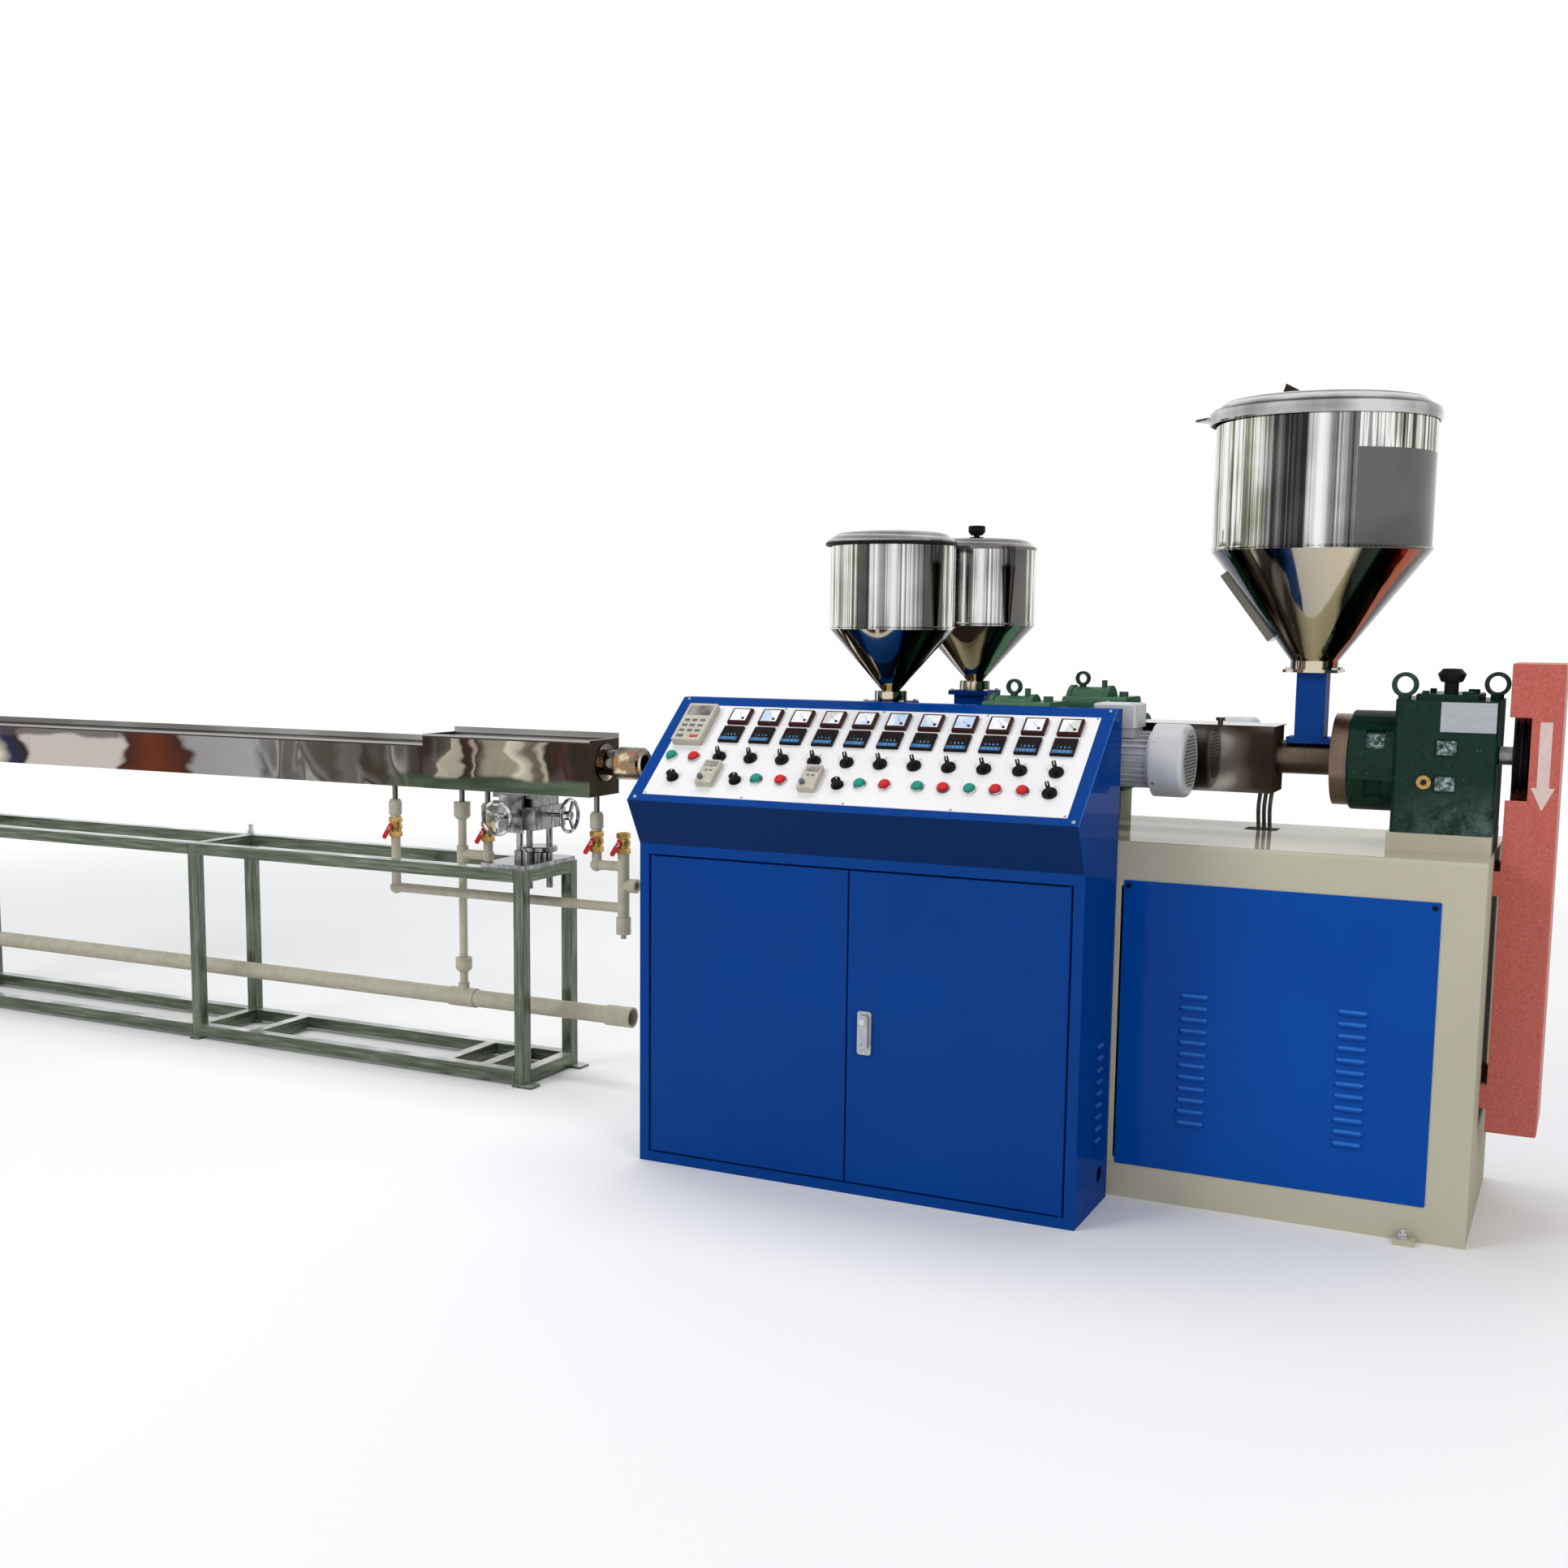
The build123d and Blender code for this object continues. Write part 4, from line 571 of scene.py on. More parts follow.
gear_green = enamel("gear_green_enamel", (0.002, 0.019, 0.012), (0.004, 0.031, 0.020),
                    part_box("gearbox_case")[0].z)
wear(gear_green, "gearbox_case", "gearbox_lid", "bearing_housing")
wear(enamel("reducer_green_enamel", (0.040, 0.105, 0.060), (0.060, 0.150, 0.090)), "side_reducers")
wear(enamel("eye_green_enamel", (0.010, 0.036, 0.024), (0.022, 0.062, 0.040)), "lifting_eyes")
lid_low, lid_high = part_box("gearbox_lid")
lid_middle = (lid_low.x + lid_high.x) / 2
end_inset, side_inset, middle_shift = 0.022, 0.016, 0.04
gear_bolts = bmesh.new()
for x in (lid_low.x + end_inset, lid_middle + middle_shift, lid_high.x - end_inset):
    for y in (lid_low.y + side_inset, lid_high.y - side_inset):
        disc(gear_bolts, Matrix.Translation((x, y, lid_high.z)), 9, 8, 6, 1.0)
piece("gearbox_bolts", gear_bolts, gear_green, "line")
plate_x, plate_y, plate_z = 2056, 499.4, 1285
plate_wide, plate_thick, plate_tall = 128, 1.2, 74
rivet_out, rivet_up = 59, 32
plate = bmesh.new()
lump(plate, stood(plate_x, plate_y, plate_z), (plate_wide, plate_thick, plate_tall), 0.4, 1)
for x in (plate_x - rivet_out, plate_x + rivet_out):
    for z in (plate_z - rivet_up, plate_z + rivet_up):
        rivet = facing(at(x, plate_y - plate_thick / 2, z), to_front)
        disc(plate, rivet, 2.4, 1.2, 16, 0.4)
tin = Finish("bare_plate_tin", (0.42, 0.44, 0.47), 0.3, 0.9)
tin_brush = tin.noise(160, 3, (0.15, 1, 6))
tin_tone = tin.span(tin_brush, 0.3, 0.7)
tin.vary("Base Color", tin.blend(tin_tone, (0.36, 0.38, 0.41), (0.48, 0.50, 0.53)))
tin.vary("Roughness", tin.span(tin_brush, 0.3, 0.7, 0.2, 0.42))
tin.bump(tin_brush, 0.00006, 0.5)
piece("bare_plate", plate, tin, "line")
brass = Finish("cast_brass", (0.52, 0.33, 0.10), 0.26, 1.0)
tarnish = brass.noise(40, 5)
brass.vary("Base Color", brass.blend(
    brass.span(tarnish, 0.4, 0.75), (0.56, 0.36, 0.12), (0.26, 0.15, 0.05)))
brass.vary("Roughness", brass.span(tarnish, 0.3, 0.7, 0.2, 0.42))
wear(brass, "oil_plug", "valve_bodies")
plug_low, plug_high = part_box("oil_plug")
plug_front = (plug_low + plug_high) / 2
plug_front.y = plug_low.y + 0.0002
# A black disc in the plug's bore is painted shade.
plug_painted_shade = bmesh.new()
disc(plug_painted_shade, facing(plug_front, to_front), 7, 0.7, 24, 0.3)
piece("oil_plug_painted_shade", plug_painted_shade, print_black, "line")
pocket_floors = bmesh.new()
for z in (axis_z + 46.5, axis_z - 43.5):
    lump(pocket_floors, stood(2009, 509.3, z), (46, 1.2, 36), 0.4, 1)
housing_lean, housing_reach = radians(62), 0.1177
outward = Vector((0, -sin(housing_lean), cos(housing_lean)))
housing_spot = at(1838, axis_y, axis_z) + outward * housing_reach
lump(pocket_floors, facing(housing_spot, outward), (46, 40, 1.2), 0.4, 1)
# Pale flecks on the dark pocket floors are painted glints.
painted_glints = Finish("painted_glints_casting", (0.2, 0.25, 0.25), 0.25, specular_ior_level=0.1)
painted_glints.vary("Base Color", painted_glints.ramp(
    painted_glints.noise(90, 4, rough=0.6),
    (0.36, (0.010, 0.028, 0.024)), (0.50, (0.11, 0.16, 0.155)), (0.64, (0.42, 0.49, 0.50))))
painted_glints.grain(90, 4, 0.001, 0.5)
piece("casting_pocket_floors", pocket_floors, painted_glints, "line")


# Screw barrels and die head: turned steel, browned by heat, with fine lathe rings along the axis.
# The main barrel's flange is a brighter ring, bolted against the bearing housing.
barrel_steel = Finish("turned_steel", (0.26, 0.20, 0.16), 0.3, 1.0)
rings = barrel_steel.noise(260, 3, (1, 0.02, 0.02))
flange = barrel_steel.along("X") > at(1729, 0, 0).x
worn_tone = barrel_steel.blend(flange, (0.17, 0.13, 0.10), (0.33, 0.23, 0.18))
burnt_tone = barrel_steel.blend(flange, (0.038, 0.026, 0.019), (0.14, 0.095, 0.075))
barrel_steel.mottle(7, 4, worn_tone, burnt_tone)
barrel_steel.vary("Roughness", barrel_steel.span(rings, 0.3, 0.7, 0.22, 0.42))
barrel_steel.bump(rings, 0.0002, 0.5)
wear(barrel_steel, "screw_barrels", "die_head")


# Feed throats: square welded chutes in blue paint, bolted down on the barrels. A hopper's flange
# sits on each, held by a bolt in every corner.
main_axis = (1665, axis_y)
side_axes = ((570, 408), (655, 872))
throat_tops = ((main_axis, 58, 1394), (side_axes[0], 53, 1290), (side_axes[1], 53, 1308))
wear(painted("throat_blue_paint", (0.0006, 0.044, 0.235), (0.0005, 0.034, 0.19), 0.28),
     "feed_throats")
throat_bolts = bmesh.new()
for (x, y), half, z in throat_tops:
    for dx in (-half, half):
        for dy in (-half, half):
            disc(throat_bolts, stood(x + dx, y + dy, z), 6.5, 5, 6, 0.7)
piece("hopper_bolts", throat_bolts, bright_steel, "line")


# Hoppers: rolled and seam welded stainless sheet, mirror polished, with spun lids. What the sheet
# shows of the works round it is painted into its colour as reflections, in upright streaks on the
# drums and in long wedges on the cones. A black rubber gasket seals the front lid.
def mirror(name):
    # The faint waves stay off level faces, which are seen too flat to carry them.
    steel = Finish(name, (0.4, 0.39, 0.37), 0.06, 1.0, specular_ior_level=0.0)
    steel.polish = steel.span(steel.noise(12, 5), 0.3, 0.75, 0.03, 0.12)
    steel.vary("Roughness", steel.polish)
    rise = steel.faces("Z")
    steel.bump(steel.noise(6, 2) * (1 - steel.span(rise * rise, 0.2, 0.6)), 0.0012, 0.3)
    return steel


def offsets(steel, axes):
    # How far right of, and in front of, the nearer upright axis a point lies.
    first = at(*axes[0], 0)
    last = at(*axes[-1], 0)
    x = steel.along("X")
    y = steel.along("Y")
    later = y > (first.y + last.y) / 2 + 0.0001
    across = x - (later * (last.x - first.x) + first.x)
    ahead = (later * (last.y - first.y) + first.y) - y
    return across, ahead


def bearing(steel, axes):
    # How far round the nearer upright axis a point lies, in turns from the front.
    across, ahead = offsets(steel, axes)
    return across.work("ARCTAN2", across, ahead) * (0.5 / pi)


def strand(steel, place, **sockets):
    # Noise along one measure only.
    return steel.make("ShaderNodeTexNoise", {"noise_dimensions": "1D"}, {"W": place, **sockets})


def streaked_reflections(name, axes, lift, window_edge, lamp_turn, door_edge, door_end, door_top):
    # Painted reflections: windows show as white strips on the left, a grey door on the right, the
    # dim hall and a painted lamp highlight between. Their places are in turns from the front, and
    # the door's top is a height.
    window_white = (0.92, 0.92, 0.92)
    steel = mirror(name)
    turn = bearing(steel, axes)
    wide = strand(steel, turn, Scale=16.0, Detail=2.0)
    fine = strand(steel, turn, Scale=90.0, Detail=5.0, Roughness=0.65)
    tone = wide * 0.45 + fine * 0.55 + steel.noise(5, 2) * 0.16 - 0.08
    hall = steel.ramp(
        tone + lift,
        (0.41, (0.022, 0.021, 0.020)), (0.46, (0.085, 0.083, 0.083)),
        (0.53, (0.21, 0.206, 0.206)), (0.59, (0.40, 0.39, 0.38)), (0.63, (0.85, 0.85, 0.85)))
    strips = steel.ramp(
        tone,
        (0.40, (0.045, 0.045, 0.036)), (0.455, (0.20, 0.20, 0.15)), (0.49, (0.42, 0.42, 0.33)),
        (0.51, (0.88, 0.88, 0.86)), (0.56, window_white), (0.60, (0.30, 0.29, 0.27)))
    beyond = turn > door_edge
    upper = steel.along("Z") > door_top
    past = turn > door_end
    left = steel.span(turn, window_edge - 0.012, window_edge + 0.012, 1.0, 0.0)
    seen = steel.blend(left + beyond * upper + past, hall, strips)
    # A painted lamp highlight.
    off = turn - lamp_turn
    lamp = steel.span(off * off, 0.0, 0.00016, 0.85, 0.0)
    seen = steel.blend(lamp, seen, window_white)
    door = steel.ramp(steel.noise(3, 2),
                      (0.4, (0.085, 0.083, 0.080)), (0.6, (0.135, 0.13, 0.127)))
    steel.vary("Base Color", steel.blend(beyond * (1 - upper) * (1 - past), seen, door))
    return steel


def wedged_reflections(name, axes, flare):
    # Painted reflections in wedges; the flare is the bright wedge low on the right.
    steel = mirror(name)
    turn = bearing(steel, axes) + 0.5 + (steel.noise(5, 2) - 0.5) * 0.04
    dark = (0.022, 0.021, 0.018)
    cream = (0.66, 0.58, 0.43)
    leaf = (0.020, 0.050, 0.032)
    back = (0.25, 0.24, 0.22)
    steel.vary("Base Color", steel.ramp(
        turn,
        (0.0, back), (0.12, dark), (0.16, cream), (0.22, leaf), (0.30, (0.16, 0.15, 0.13)),
        (0.35, (0.012, 0.020, 0.055)), (0.37, leaf), (0.385, dark), (0.395, (0.74, 0.62, 0.52)),
        (0.412, cream), (0.42, dark), (0.445, (0.17, 0.13, 0.10)), (0.462, (0.09, 0.075, 0.06)),
        (0.474, cream), (0.572, cream), (0.586, dark), (0.62, leaf), (0.64, dark), (0.65, flare),
        (0.685, flare), (0.70, dark), (0.80, (0.30, 0.29, 0.26)), (0.86, leaf), (1.0, back)))
    return steel


def ringed_reflections(name, axes):
    # Spun lids catch the light in rings round their middles: painted reflections.
    steel = mirror(name)
    across, ahead = offsets(steel, axes)
    square = across * across + ahead * ahead
    rings = strand(steel, square.work("SQRT", square), Scale=60.0, Detail=2.0)
    reflection_rings = steel.ramp(
        rings * 0.7 + steel.noise(7, 3) * 0.3,
        (0.37, (0.040, 0.036, 0.034)), (0.47, (0.165, 0.156, 0.150)),
        (0.55, (0.33, 0.32, 0.31)), (0.63, (0.66, 0.65, 0.64)))
    return steel, reflection_rings


# The drums' colours are painted reflections.
wear(streaked_reflections("main_drum_painted_reflections", [main_axis], lift=0.0, window_edge=-0.062, lamp_turn=0.02,
              door_edge=0.0705, door_end=0.5, door_top=1.94), "main_hopper")
wear(streaked_reflections("side_drum_painted_reflections", side_axes, lift=0.045, window_edge=-0.026, lamp_turn=0.062,
              door_edge=0.142, door_end=0.205, door_top=1.8), "side_hoppers")
wear(wedged_reflections("main_cone_painted_reflections", [main_axis], flare=(0.36, 0.075, 0.028)), "main_hopper_cone")
wear(wedged_reflections("side_cone_painted_reflections", side_axes, flare=(0.055, 0.13, 0.065)), "side_hopper_cones")
lid_axis = (1660, axis_y)
tab_end_x, handle_foot = 1372, 2.093
# The lids' rings are painted reflections.
lid_painted_reflections, lid_reflection_rings = ringed_reflections("lid_painted_reflections", [lid_axis])
lid_tab = 1 - (lid_painted_reflections.along("X") > at(tab_end_x, 0, 0).x)
lid_handle = lid_painted_reflections.along("Z") > handle_foot
lid_painted_reflections.vary("Base Color", lid_painted_reflections.blend(lid_tab + lid_handle, lid_reflection_rings,
                                             (0.035, 0.024, 0.018)))
wear(lid_painted_reflections, "main_hopper_lid")
side_lid_painted_reflections, side_lid_reflection_rings = ringed_reflections("side_lid_painted_reflections", side_axes)
side_lid_painted_reflections.vary("Base Color", side_lid_reflection_rings)
wear(side_lid_painted_reflections, "side_hopper_lids")
# The gasket's section: radius and height from its own middle, in millimetres.
gasket_middle = at(565, 408, 1720)
gasket_section = ((174, -5), (180.5, -5), (182, -3), (182, 3), (180.5, 5), (178.2, 5), (178.2, 0),
                  (174, 0))
gasket = bmesh.new()
points = [gasket.verts.new(gasket_middle + Vector((r, 0, h)) / 1000) for r, h in gasket_section]
sides = [gasket.edges.new((points[i - 1], points[i])) for i in range(len(points))]
bmesh.ops.spin(gasket, geom=points + sides, cent=gasket_middle, axis=(0, 0, 1), angle=2 * pi,
               steps=96, use_merge=True)
piece("lid_gasket", gasket, case_black, "line")


# Trough and its head box: long folded stainless gutters, mirror polished and a little wavy, so what
# they show runs in slow curves along them, painted into their colour as reflections. The nozzle
# ring is turned from the same steel, and the water keeps the insides dull.
def gutter_reflections(name, node, start, end, half, stops):
    # Stops give the painted reflections on the outer wall at places along the line, from start to
    # end. Half is half the gutter's width. A painted highlight runs along the top of the front wall
    # as a bright lip, with a dark band just below it, and the end faces take a painted shade.
    steel = mirror(name)
    x = steel.along("X")
    z = steel.along("Z")
    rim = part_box(node)[1].z - 0.016

    def between(first, last, new_low=0.0, new_high=1.0):
        return steel.span(x, at(first, 0, 0).x, at(last, 0, 0).x, new_low, new_high)

    drift = x + (steel.noise(5, 2, (1, 1, 2)) - 0.5) * 0.22
    show = steel.ramp(steel.span(drift, at(start, 0, 0).x, at(end, 0, 0).x),
                      *(((place - start) / (end - start), tone) for place, tone in stops))
    spot = steel.make("ShaderNodeMapping", {}, {"Vector": steel.place, "Scale": (5.0, 1.0, 2.6)})
    flow = steel.make("ShaderNodeTexNoise", {},
                      {"Vector": spot, "Scale": 1.0, "Detail": 1.0, "Distortion": 1.0})
    waves = steel.ramp(
        flow,
        (0.36, (0.030, 0.024, 0.020)), (0.43, (0.12, 0.112, 0.105)), (0.47, (0.38, 0.37, 0.355)),
        (0.50, (0.035, 0.028, 0.024)), (0.55, (0.15, 0.142, 0.135)), (0.62, (0.055, 0.045, 0.038)))
    # Wavy painted reflection bands over part of the line.
    wavy = between(-1900, -1780, 0.0, 0.7) - between(-1250, -1150, 0.0, 0.6)
    show = steel.blend(wavy, show, waves)
    height = z + (steel.noise(4, 2) - 0.5) * 0.06
    # A dark painted reflection band under the rim, towards the far end.
    top_band = steel.span(height, rim - 0.042, rim - 0.030) * between(-2540, -2480, 0.8, 0.0)
    show = steel.blend(top_band, show, (0.085, 0.070, 0.075))
    # A greenish painted reflection low on the wall near the head box.
    ground = steel.ramp(steel.noise(7, 3, (0.4, 1, 3)),
                        (0.4, (0.045, 0.062, 0.042)), (0.62, (0.10, 0.125, 0.085)))
    low = between(-1360, -1160) * steel.span(height, 0.986, 0.998, 1.0, 0.0)
    show = steel.blend(low, show, ground)
    # A dark band and a painted highlight along the lip.
    show = steel.blend(z > rim - 0.011, show, (0.055, 0.046, 0.040))
    show = steel.blend(z > rim - 0.006, show, (0.42, 0.41, 0.39))
    off_axis = steel.along("Y") - at(0, axis_y, 0).y
    wall = off_axis.work("ABSOLUTE", off_axis) > (half - 1) / 1000
    inner = steel.ramp(steel.noise(5, 2, (0.4, 1, 1)),
                       (0.4, (0.24, 0.23, 0.215)), (0.6, (0.42, 0.41, 0.39)))
    # End faces take a painted shade.
    end_face = steel.span(steel.faces("X"), 0.5, 0.9)
    tone = steel.blend(wall, inner, show)
    steel.vary("Base Color", steel.blend(end_face, tone, (0.070, 0.055, 0.042)))
    steel.vary("Metallic", (1 - end_face * 0.85) * (0.25 + wall * 0.75))
    steel.vary("Roughness", steel.polish + (1 - wall) * 0.34)
    return steel


# Tones of the painted reflections on the gutters and the hood.
umber = (0.055, 0.024, 0.017)
dusk = (0.030, 0.022, 0.018)
stone = (0.29, 0.285, 0.275)
pale = (0.54, 0.48, 0.46)
straw = (0.66, 0.60, 0.47)
trough_start, box_start, box_end = -3650, -1148, -500
wear(gutter_reflections("channel_painted_reflections", "trough_channel", trough_start, box_start, 85, (
    (trough_start, stone), (-3400, dusk), (-3200, straw), (-3120, (0.022, 0.030, 0.075)),
    (-3030, dusk), (-3000, pale), (-2540, pale), (-2510, umber), (-2380, (0.14, 0.032, 0.015)),
    (-2230, umber), (-2200, stone), (-1880, (0.33, 0.33, 0.32)), (-1850, (0.15, 0.145, 0.14)),
    (-1700, stone), (-1560, (0.12, 0.10, 0.09)), (-1500, stone), (-1430, (0.25, 0.23, 0.215)),
    (-1410, umber), (-1310, dusk), (-1280, (0.24, 0.19, 0.165)), (-1190, dusk))),
    "trough_channel")
wear(gutter_reflections("box_painted_reflections", "trough_head_box", box_start, box_end, 91, (
    (box_start, dusk), (-1075, (0.10, 0.085, 0.070)), (-1062, (0.45, 0.40, 0.32)),
    (-1012, (0.36, 0.32, 0.25)), (-1000, dusk), (-970, umber), (-955, (0.38, 0.34, 0.26)),
    (-940, dusk), (-915, (0.13, 0.11, 0.085)), (-890, (0.27, 0.235, 0.175)),
    (-800, (0.31, 0.27, 0.20)), (-780, straw), (-740, (0.42, 0.38, 0.30)),
    (-720, (0.16, 0.135, 0.10)), (-690, (0.10, 0.085, 0.065)), (-665, (0.45, 0.40, 0.31)),
    (-645, dusk), (-560, umber), (-535, dusk))), "trough_head_box")
# The hood's colour is a painted reflection.
hood_painted_reflections = mirror("hood_painted_reflections")
hood_painted_reflections.vary("Base Color", hood_painted_reflections.ramp(
    hood_painted_reflections.noise(14, 3),
    (0.38, dusk), (0.46, (0.095, 0.080, 0.070)), (0.54, (0.22, 0.19, 0.165)),
    (0.60, (0.38, 0.19, 0.075)), (0.66, straw)))
wear(hood_painted_reflections, "inlet_hood")


# Heater covers: thin polished boxes, screwed on over the band heaters of the barrels. Their colour
# is a painted reflection, dark where they face the dim works, and their ends take a painted shade.
cover_painted_reflections = mirror("cover_painted_reflections")
cover_tone = cover_painted_reflections.ramp(
    cover_painted_reflections.noise(2.6, 2, (1, 1, 2)),
    (0.36, (0.012, 0.008, 0.006)), (0.52, (0.030, 0.021, 0.017)), (0.60, (0.10, 0.085, 0.072)),
    (0.67, (0.36, 0.34, 0.31)))
# End faces take a painted shade.
cover_end_painted_shade = cover_painted_reflections.span(cover_painted_reflections.faces("X"), 0.5, 0.9)
cover_painted_reflections.vary("Base Color", cover_painted_reflections.blend(cover_end_painted_shade, cover_tone, (0.045, 0.030, 0.022)))
cover_painted_reflections.vary("Metallic", 1 - cover_end_painted_shade)
wear(cover_painted_reflections, "heater_covers")


# Conduits: three short lengths of stiff metal hose that take the heater leads from the cover down
# into the base. The strip they are wound from shows as fine turns.
conduit = Finish("conduit_steel", (0.22, 0.21, 0.20), 0.35, 1.0)
windings = conduit.make("ShaderNodeTexWave", {"bands_direction": "Z"},
                        {"Vector": conduit.place, "Scale": 90.0}, "Fac")
# The turns are darker in their grooves: painted shade.
conduit.vary("Base Color", conduit.blend(windings, (0.13, 0.125, 0.12), (0.27, 0.26, 0.25)))
conduit.vary("Roughness", conduit.span(windings, 0.0, 1.0, 0.28, 0.5))
conduit.bump(windings, 0.0012, 0.8)
wear(conduit, "heater_conduits")


# Belt guard: a folded steel box in salmon red hammered paint, bolted to the base's end, with a
# plain pale turning arrow stuck on its front. The black cast pulley turns behind its slot.
guard_red = Finish("guard_red_paint", (0.46, 0.10, 0.075), 0.42, specular_ior_level=0.2)
speckle = guard_red.noise(260, 4)
guard_red.vary("Base Color", guard_red.blend(
    guard_red.span(speckle, 0.35, 0.7), (0.44, 0.090, 0.066), (0.54, 0.15, 0.12)))
guard_red.vary("Roughness", guard_red.span(speckle, 0.3, 0.7, 0.32, 0.52))
guard_red.grain(180, 3, 0.0006, 0.6)
wear(guard_red, "belt_guard")
arrow_stem, arrow_head = 14, 27
arrow_top, arrow_neck, arrow_tip = 90, -70, -127
arrow_lift, arrow_thick = 0.0006, 0.0005
arrow_outline = ((-arrow_stem, arrow_top), (arrow_stem, arrow_top), (arrow_stem, arrow_neck),
                 (arrow_head, arrow_neck), (0, arrow_tip), (-arrow_head, arrow_neck),
                 (-arrow_stem, arrow_neck))
arrow_spot = at(2230, 0, 1188)
arrow_spot.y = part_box("belt_guard")[0].y - arrow_lift
arrow = bmesh.new()
corners = [arrow.verts.new(arrow_spot + Vector((x, 0, z)) / 1000) for x, z in arrow_outline]
bmesh.ops.extrude_face_region(arrow, geom=[arrow.faces.new(corners)])
bmesh.ops.translate(arrow, verts=corners, vec=(0, arrow_thick, 0))
arrow_pale = Finish("arrow_pale", (0.68, 0.52, 0.49), 0.45, specular_ior_level=0.2)
arrow_pale.mottle(40, 4, (0.71, 0.55, 0.52), (0.64, 0.48, 0.45))
arrow_pale.uneven(90, 3, 0.38, 0.55)
piece("guard_arrow", arrow, arrow_pale, "line")
cast_black, shaft_grey = (0.012, 0.012, 0.013), (0.55, 0.53, 0.50)
pulley_black = Finish("pulley_black", cast_black, 0.45, specular_ior_level=0.05)
shaft = 1 - (pulley_black.along("X") > at(2156, 0, 0).x)
pulley_black.vary("Base Color", pulley_black.blend(shaft, cast_black, shaft_grey))
pulley_black.vary("Metallic", shaft)
pulley_black.uneven(60, 4, 0.35, 0.55)
wear(pulley_black, "drive_pulley")


# Side motors: die-cast aluminium with cooling ribs and a terminal box, flanged to the reducers. A
# pressed fan cowl with rows of round holes is screwed over the far end.
motor_z = 1157
cowl_face, cowl_screw_x, cowl_reach = 833.4, 758, 0.0945
hole_pitch, row_pitch, grille_radius = 10.4, 9.0, 70
box_top = 145
motor_alloy = Finish("motor_alloy", (0.52, 0.53, 0.55), 0.38, 0.3)
alloy_grain = motor_alloy.noise(500, 3)
motor_alloy.mottle(9, 4, (0.48, 0.49, 0.51), (0.58, 0.59, 0.60))
motor_alloy.vary("Roughness", motor_alloy.span(alloy_grain, 0.3, 0.7, 0.3, 0.48))
motor_alloy.bump(alloy_grain, 0.00015, 0.5)
wear(motor_alloy, "side_motors", "side_fan_cowls")
# The cowl's holes are black discs on its face: painted shade.
cowl_hole_shades = bmesh.new()
motor_screws = bmesh.new()
for x, y in side_axes:
    for row in range(-7, 8):
        for column in range(-7, 8):
            dy = hole_pitch * (column + 0.5 * (row % 2))
            dz = row_pitch * row
            if dy * dy + dz * dz < grille_radius * grille_radius:
                hole = facing(at(x + cowl_face, y + dy, motor_z + dz), (1, 0, 0))
                disc(cowl_hole_shades, hole, 3.6, 0.8, 10)
    for turn in (35, 145, 215, 325):
        out = Vector((0, cos(radians(turn)), sin(radians(turn))))
        cowl_side = at(x + cowl_screw_x, y, motor_z) + out * cowl_reach
        disc(motor_screws, facing(cowl_side, out), 4.5, 2.2, 16, 0.7)
    for dx in (602, 690):
        for side in (-40, 40):
            # The front motor's box stands on top, and the rear one's looks to the back.
            if y < axis_y:
                lid_screw = stood(x + dx, y + side, motor_z + box_top)
            else:
                lid_screw = facing(at(x + dx, y + box_top, motor_z + side), (0, 1, 0))
            disc(motor_screws, lid_screw, 4, 2.4, 16, 0.7)
piece("cowl_holes_painted_shade", cowl_hole_shades, print_black, "line")
piece("motor_screws", motor_screws, bright_steel, "line")


# Stand: square stainless tube, welded at the corners and brushed along each length. Its greenish
# tone is a painted reflection, and where it faces up it takes a painted highlight. One bolt stands
# in the middle of the top frame to level the trough.
def tube(name, stretch):
    # Stretch is fine across the tube and long along it.
    steel = Finish(name, (0.12, 0.15, 0.11), 0.2, 1.0)
    brush = steel.noise(9, 4, stretch)
    # The greenish tone is a painted reflection, and up faces take a painted highlight.
    tone = steel.ramp(brush, (0.30, (0.060, 0.078, 0.055)), (0.50, (0.105, 0.130, 0.090)),
                      (0.70, (0.19, 0.22, 0.17)))
    up = steel.span(steel.faces("Z"), 0.5, 0.9)
    top_painted_highlight = steel.ramp(steel.noise(6, 3), (0.36, (0.17, 0.20, 0.16)), (0.52, (0.36, 0.385, 0.35)),
                       (0.66, (0.68, 0.70, 0.67)))
    steel.vary("Base Color", steel.blend(up, tone, top_painted_highlight))
    steel.vary("Metallic", 0.55 - up * 0.25)
    steel.vary("Roughness", steel.span(brush, 0.3, 0.7, 0.14, 0.3))
    steel.grain(7, 2, 0.0008, 0.3)
    return steel


wear(tube("post_steel_painted_reflection", (14, 14, 0.8)), "stand_posts")
wear(tube("rail_steel_painted_reflection", (0.8, 14, 14)), "stand_rails")
wear(tube("cross_steel_painted_reflection", (14, 0.8, 14)), "stand_cross_members")
stand_top = 710
level_bolt = bmesh.new()
stack(level_bolt, -2115, 783, stand_top, (16, 4, 28, 0.8), (13, 12, 6, 1.2), (8, 22, 24, 1.2))
piece("stand_level_bolt", level_bolt, bright_steel, "line")


# Adjuster: a ground and plated steel slide on columns, bolted to the stand under the head box. Two
# chromed handwheels move it along and across.
slide_steel = Finish("slide_steel", (0.3, 0.3, 0.3), 0.2, 1.0)
grinding = slide_steel.noise(24, 4, (1, 8, 1))
slide_steel.vary("Base Color", slide_steel.ramp(
    grinding,
    (0.34, (0.12, 0.12, 0.12)), (0.5, (0.24, 0.24, 0.245)), (0.66, (0.42, 0.42, 0.43))))
slide_steel.vary("Roughness", slide_steel.span(grinding, 0.3, 0.7, 0.12, 0.3))
wear(slide_steel, "adjuster_plate", "slide_block")
wear(chrome, "front_handwheel", "end_handwheel")


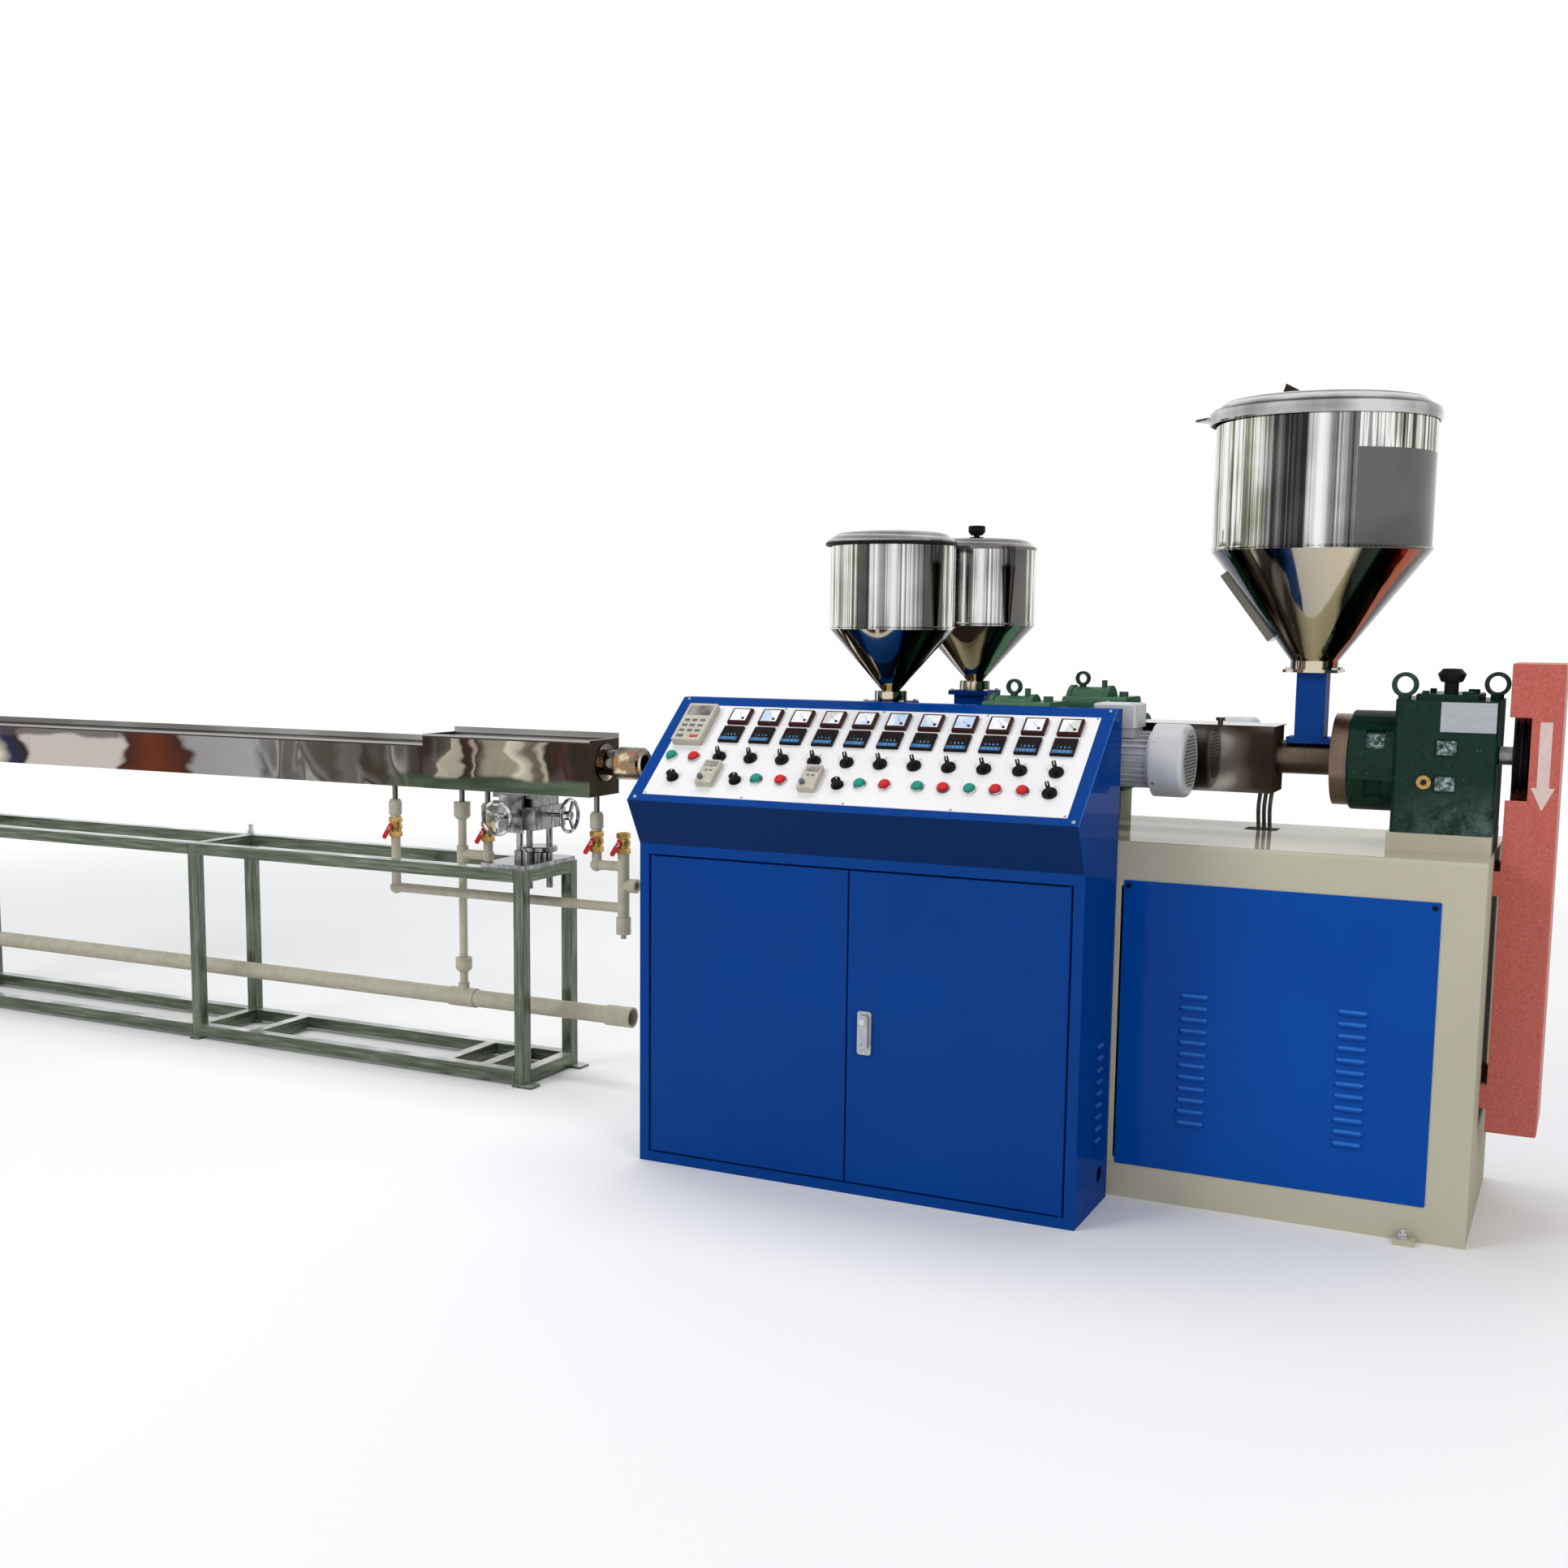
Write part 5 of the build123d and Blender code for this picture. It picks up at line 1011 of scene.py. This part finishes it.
# Pipes: beige plastic tube and moulded fittings, welded together with solvent. A wide drain runs
# low along the stand, and a thin supply feeds the trough.
wear(moulded("pipe_beige", (0.48, 0.45, 0.35), 0.38), "drain_pipes", "supply_pipes")


# Valves: cast brass ball valves with a hexagon at each end, screwed between the pipes. Each lever
# is pressed steel in red plastic, held on the stem by a small nut.
valves = {"a": (-1335, axis_y), "c": (-983, 684), "d": (-529, axis_y), "r": (-429, axis_y)}
stem_z, lever_out = 800, 37
wear(moulded("lever_red", (0.52, 0.015, 0.02), 0.35), *(f"valve_lever_{name}" for name in valves))
hexes = bmesh.new()
for name, (x, y) in valves.items():
    nut = bmesh.new()
    disc(nut, facing(at(x, y - lever_out, stem_z), to_front), 8, 4.5, 6, 0.8)
    piece(f"lever_nut_{name}", nut, bright_steel, f"valve_lever_{name}")
    for z in (767, 816):
        disc(hexes, stood(x, y, z), 23, 17, 6, 1.5)
piece("valve_hexes", hexes, brass, "line")


# Studio: a pale floor that runs out of sight, a pale surround and four soft lamps, which polished
# steel doesn't show as bright squares.
def looked_at(nodes):
    # One where the camera, a polished face or a clear one looks at the surround.
    rays = [nodes.make("ShaderNodeLightPath", {}, {}, kind)
            for kind in ("Is Camera Ray", "Is Glossy Ray", "Is Transmission Ray")]
    either = rays[0].work("MAXIMUM", rays[0], rays[1])
    return either.work("MAXIMUM", either, rays[2])


white = (1, 1, 1)
floor_reach = 60
fade_start, fade_end = 3.0, 7.0
floor_mesh = bmesh.new()
bmesh.ops.create_grid(floor_mesh, x_segments=1, y_segments=1, size=floor_reach)
floor_data = bpy.data.meshes.new("studio_floor")
floor_mesh.to_mesh(floor_data)
floor_mesh.free()
floor = bpy.data.objects.new("studio_floor", floor_data)
bpy.context.scene.collection.objects.link(floor)
floor_pale = Finish("studio_pale", (0.90, 0.90, 0.90), 0.6, specular_ior_level=0.1)
floor_data.materials.append(floor_pale.material)
away = floor_pale.make("ShaderNodeVectorMath", {"operation": "LENGTH"},
                       {0: floor_pale.place}, "Value")
far = floor_pale.span(away, fade_start, fade_end)
plain = floor_pale.make("ShaderNodeEmission", {}, {"Color": white, "Strength": 1.0})
lit_floor = Grade(floor_pale, floor_pale.shader.outputs[0])
floor_shader = floor_pale.make("ShaderNodeMixShader", {},
                               {0: far * looked_at(floor_pale), 1: lit_floor, 2: plain})
floor_pale.feed(floor_pale.tree.nodes["Material Output"].inputs["Surface"], floor_shader)

world = bpy.data.worlds.new("studio")
bpy.context.scene.world = world
world.use_nodes = True
surround = Nodes(world.node_tree)
soft = world.node_tree.nodes["Background"]
surround.feed(soft.inputs["Color"], (0.95, 0.97, 1.0))
surround.feed(soft.inputs["Strength"], 0.50)
backdrop = surround.make("ShaderNodeBackground", {}, {"Color": white, "Strength": 1.0})
sky = surround.make("ShaderNodeMixShader", {},
                    {0: looked_at(surround), 1: Grade(surround, soft.outputs[0]), 2: backdrop})
surround.feed(world.node_tree.nodes["World Output"].inputs["Surface"], sky)

for name, spot, aim, wide, tall, power in (
        ("key", (-2.6, -5.2, 4.6), (0.6, 0, 0.8), 3.2, 2.4, 180),
        ("fill", (5.6, -3.8, 3.2), (1.6, 0, 0.9), 2.4, 2.4, 80),
        ("top", (0.4, 0.6, 5.2), (0.4, 0.2, 0), 5.0, 2.0, 115),
        ("back", (1.0, 5.0, 3.4), (0.5, 0, 0.9), 4.0, 2.0, 70)):
    lamp = bpy.data.lights.new(name, "AREA")
    lamp.shape = "RECTANGLE"
    lamp.size = wide
    lamp.size_y = tall
    lamp.energy = power
    holder = bpy.data.objects.new(name, lamp)
    holder.matrix_world = facing(Vector(spot), Vector(spot) - Vector(aim))
    holder.visible_glossy = False
    bpy.context.scene.collection.objects.link(holder)


# Camera: stands at the front right of the line at eye height, as in the photograph. Its focal
# length and the middle of its view are in pixels of a square picture.
eye = (2378, -4135, 1503)
picture = 1932
focal, middle_x, middle_y = 2145.27, 902.77, 1034.64
sensor = 36.0
yaw, pitch, roll = radians(26.837), radians(7.104), radians(0.442)
ahead = Vector((-sin(yaw) * cos(pitch), cos(yaw) * cos(pitch), -sin(pitch)))
right = Vector((cos(yaw), sin(yaw), 0))
over = right.cross(ahead)
level = right * cos(roll) + over * sin(roll)
upright = over * cos(roll) - right * sin(roll)
view = bpy.data.cameras.new("photo_view")
view.sensor_width = sensor
view.lens = sensor * focal / picture
view.shift_x = (picture / 2 - middle_x) / picture
view.shift_y = (middle_y - picture / 2) / picture
view.clip_end = 200
camera = bpy.data.objects.new("photo_view", view)
camera.matrix_world = (stood(*eye)
                       @ Matrix((level, upright, -ahead)).transposed().to_4x4())
bpy.context.scene.collection.objects.link(camera)
bpy.context.scene.camera = camera
bpy.context.scene.view_settings.view_transform = "Standard"
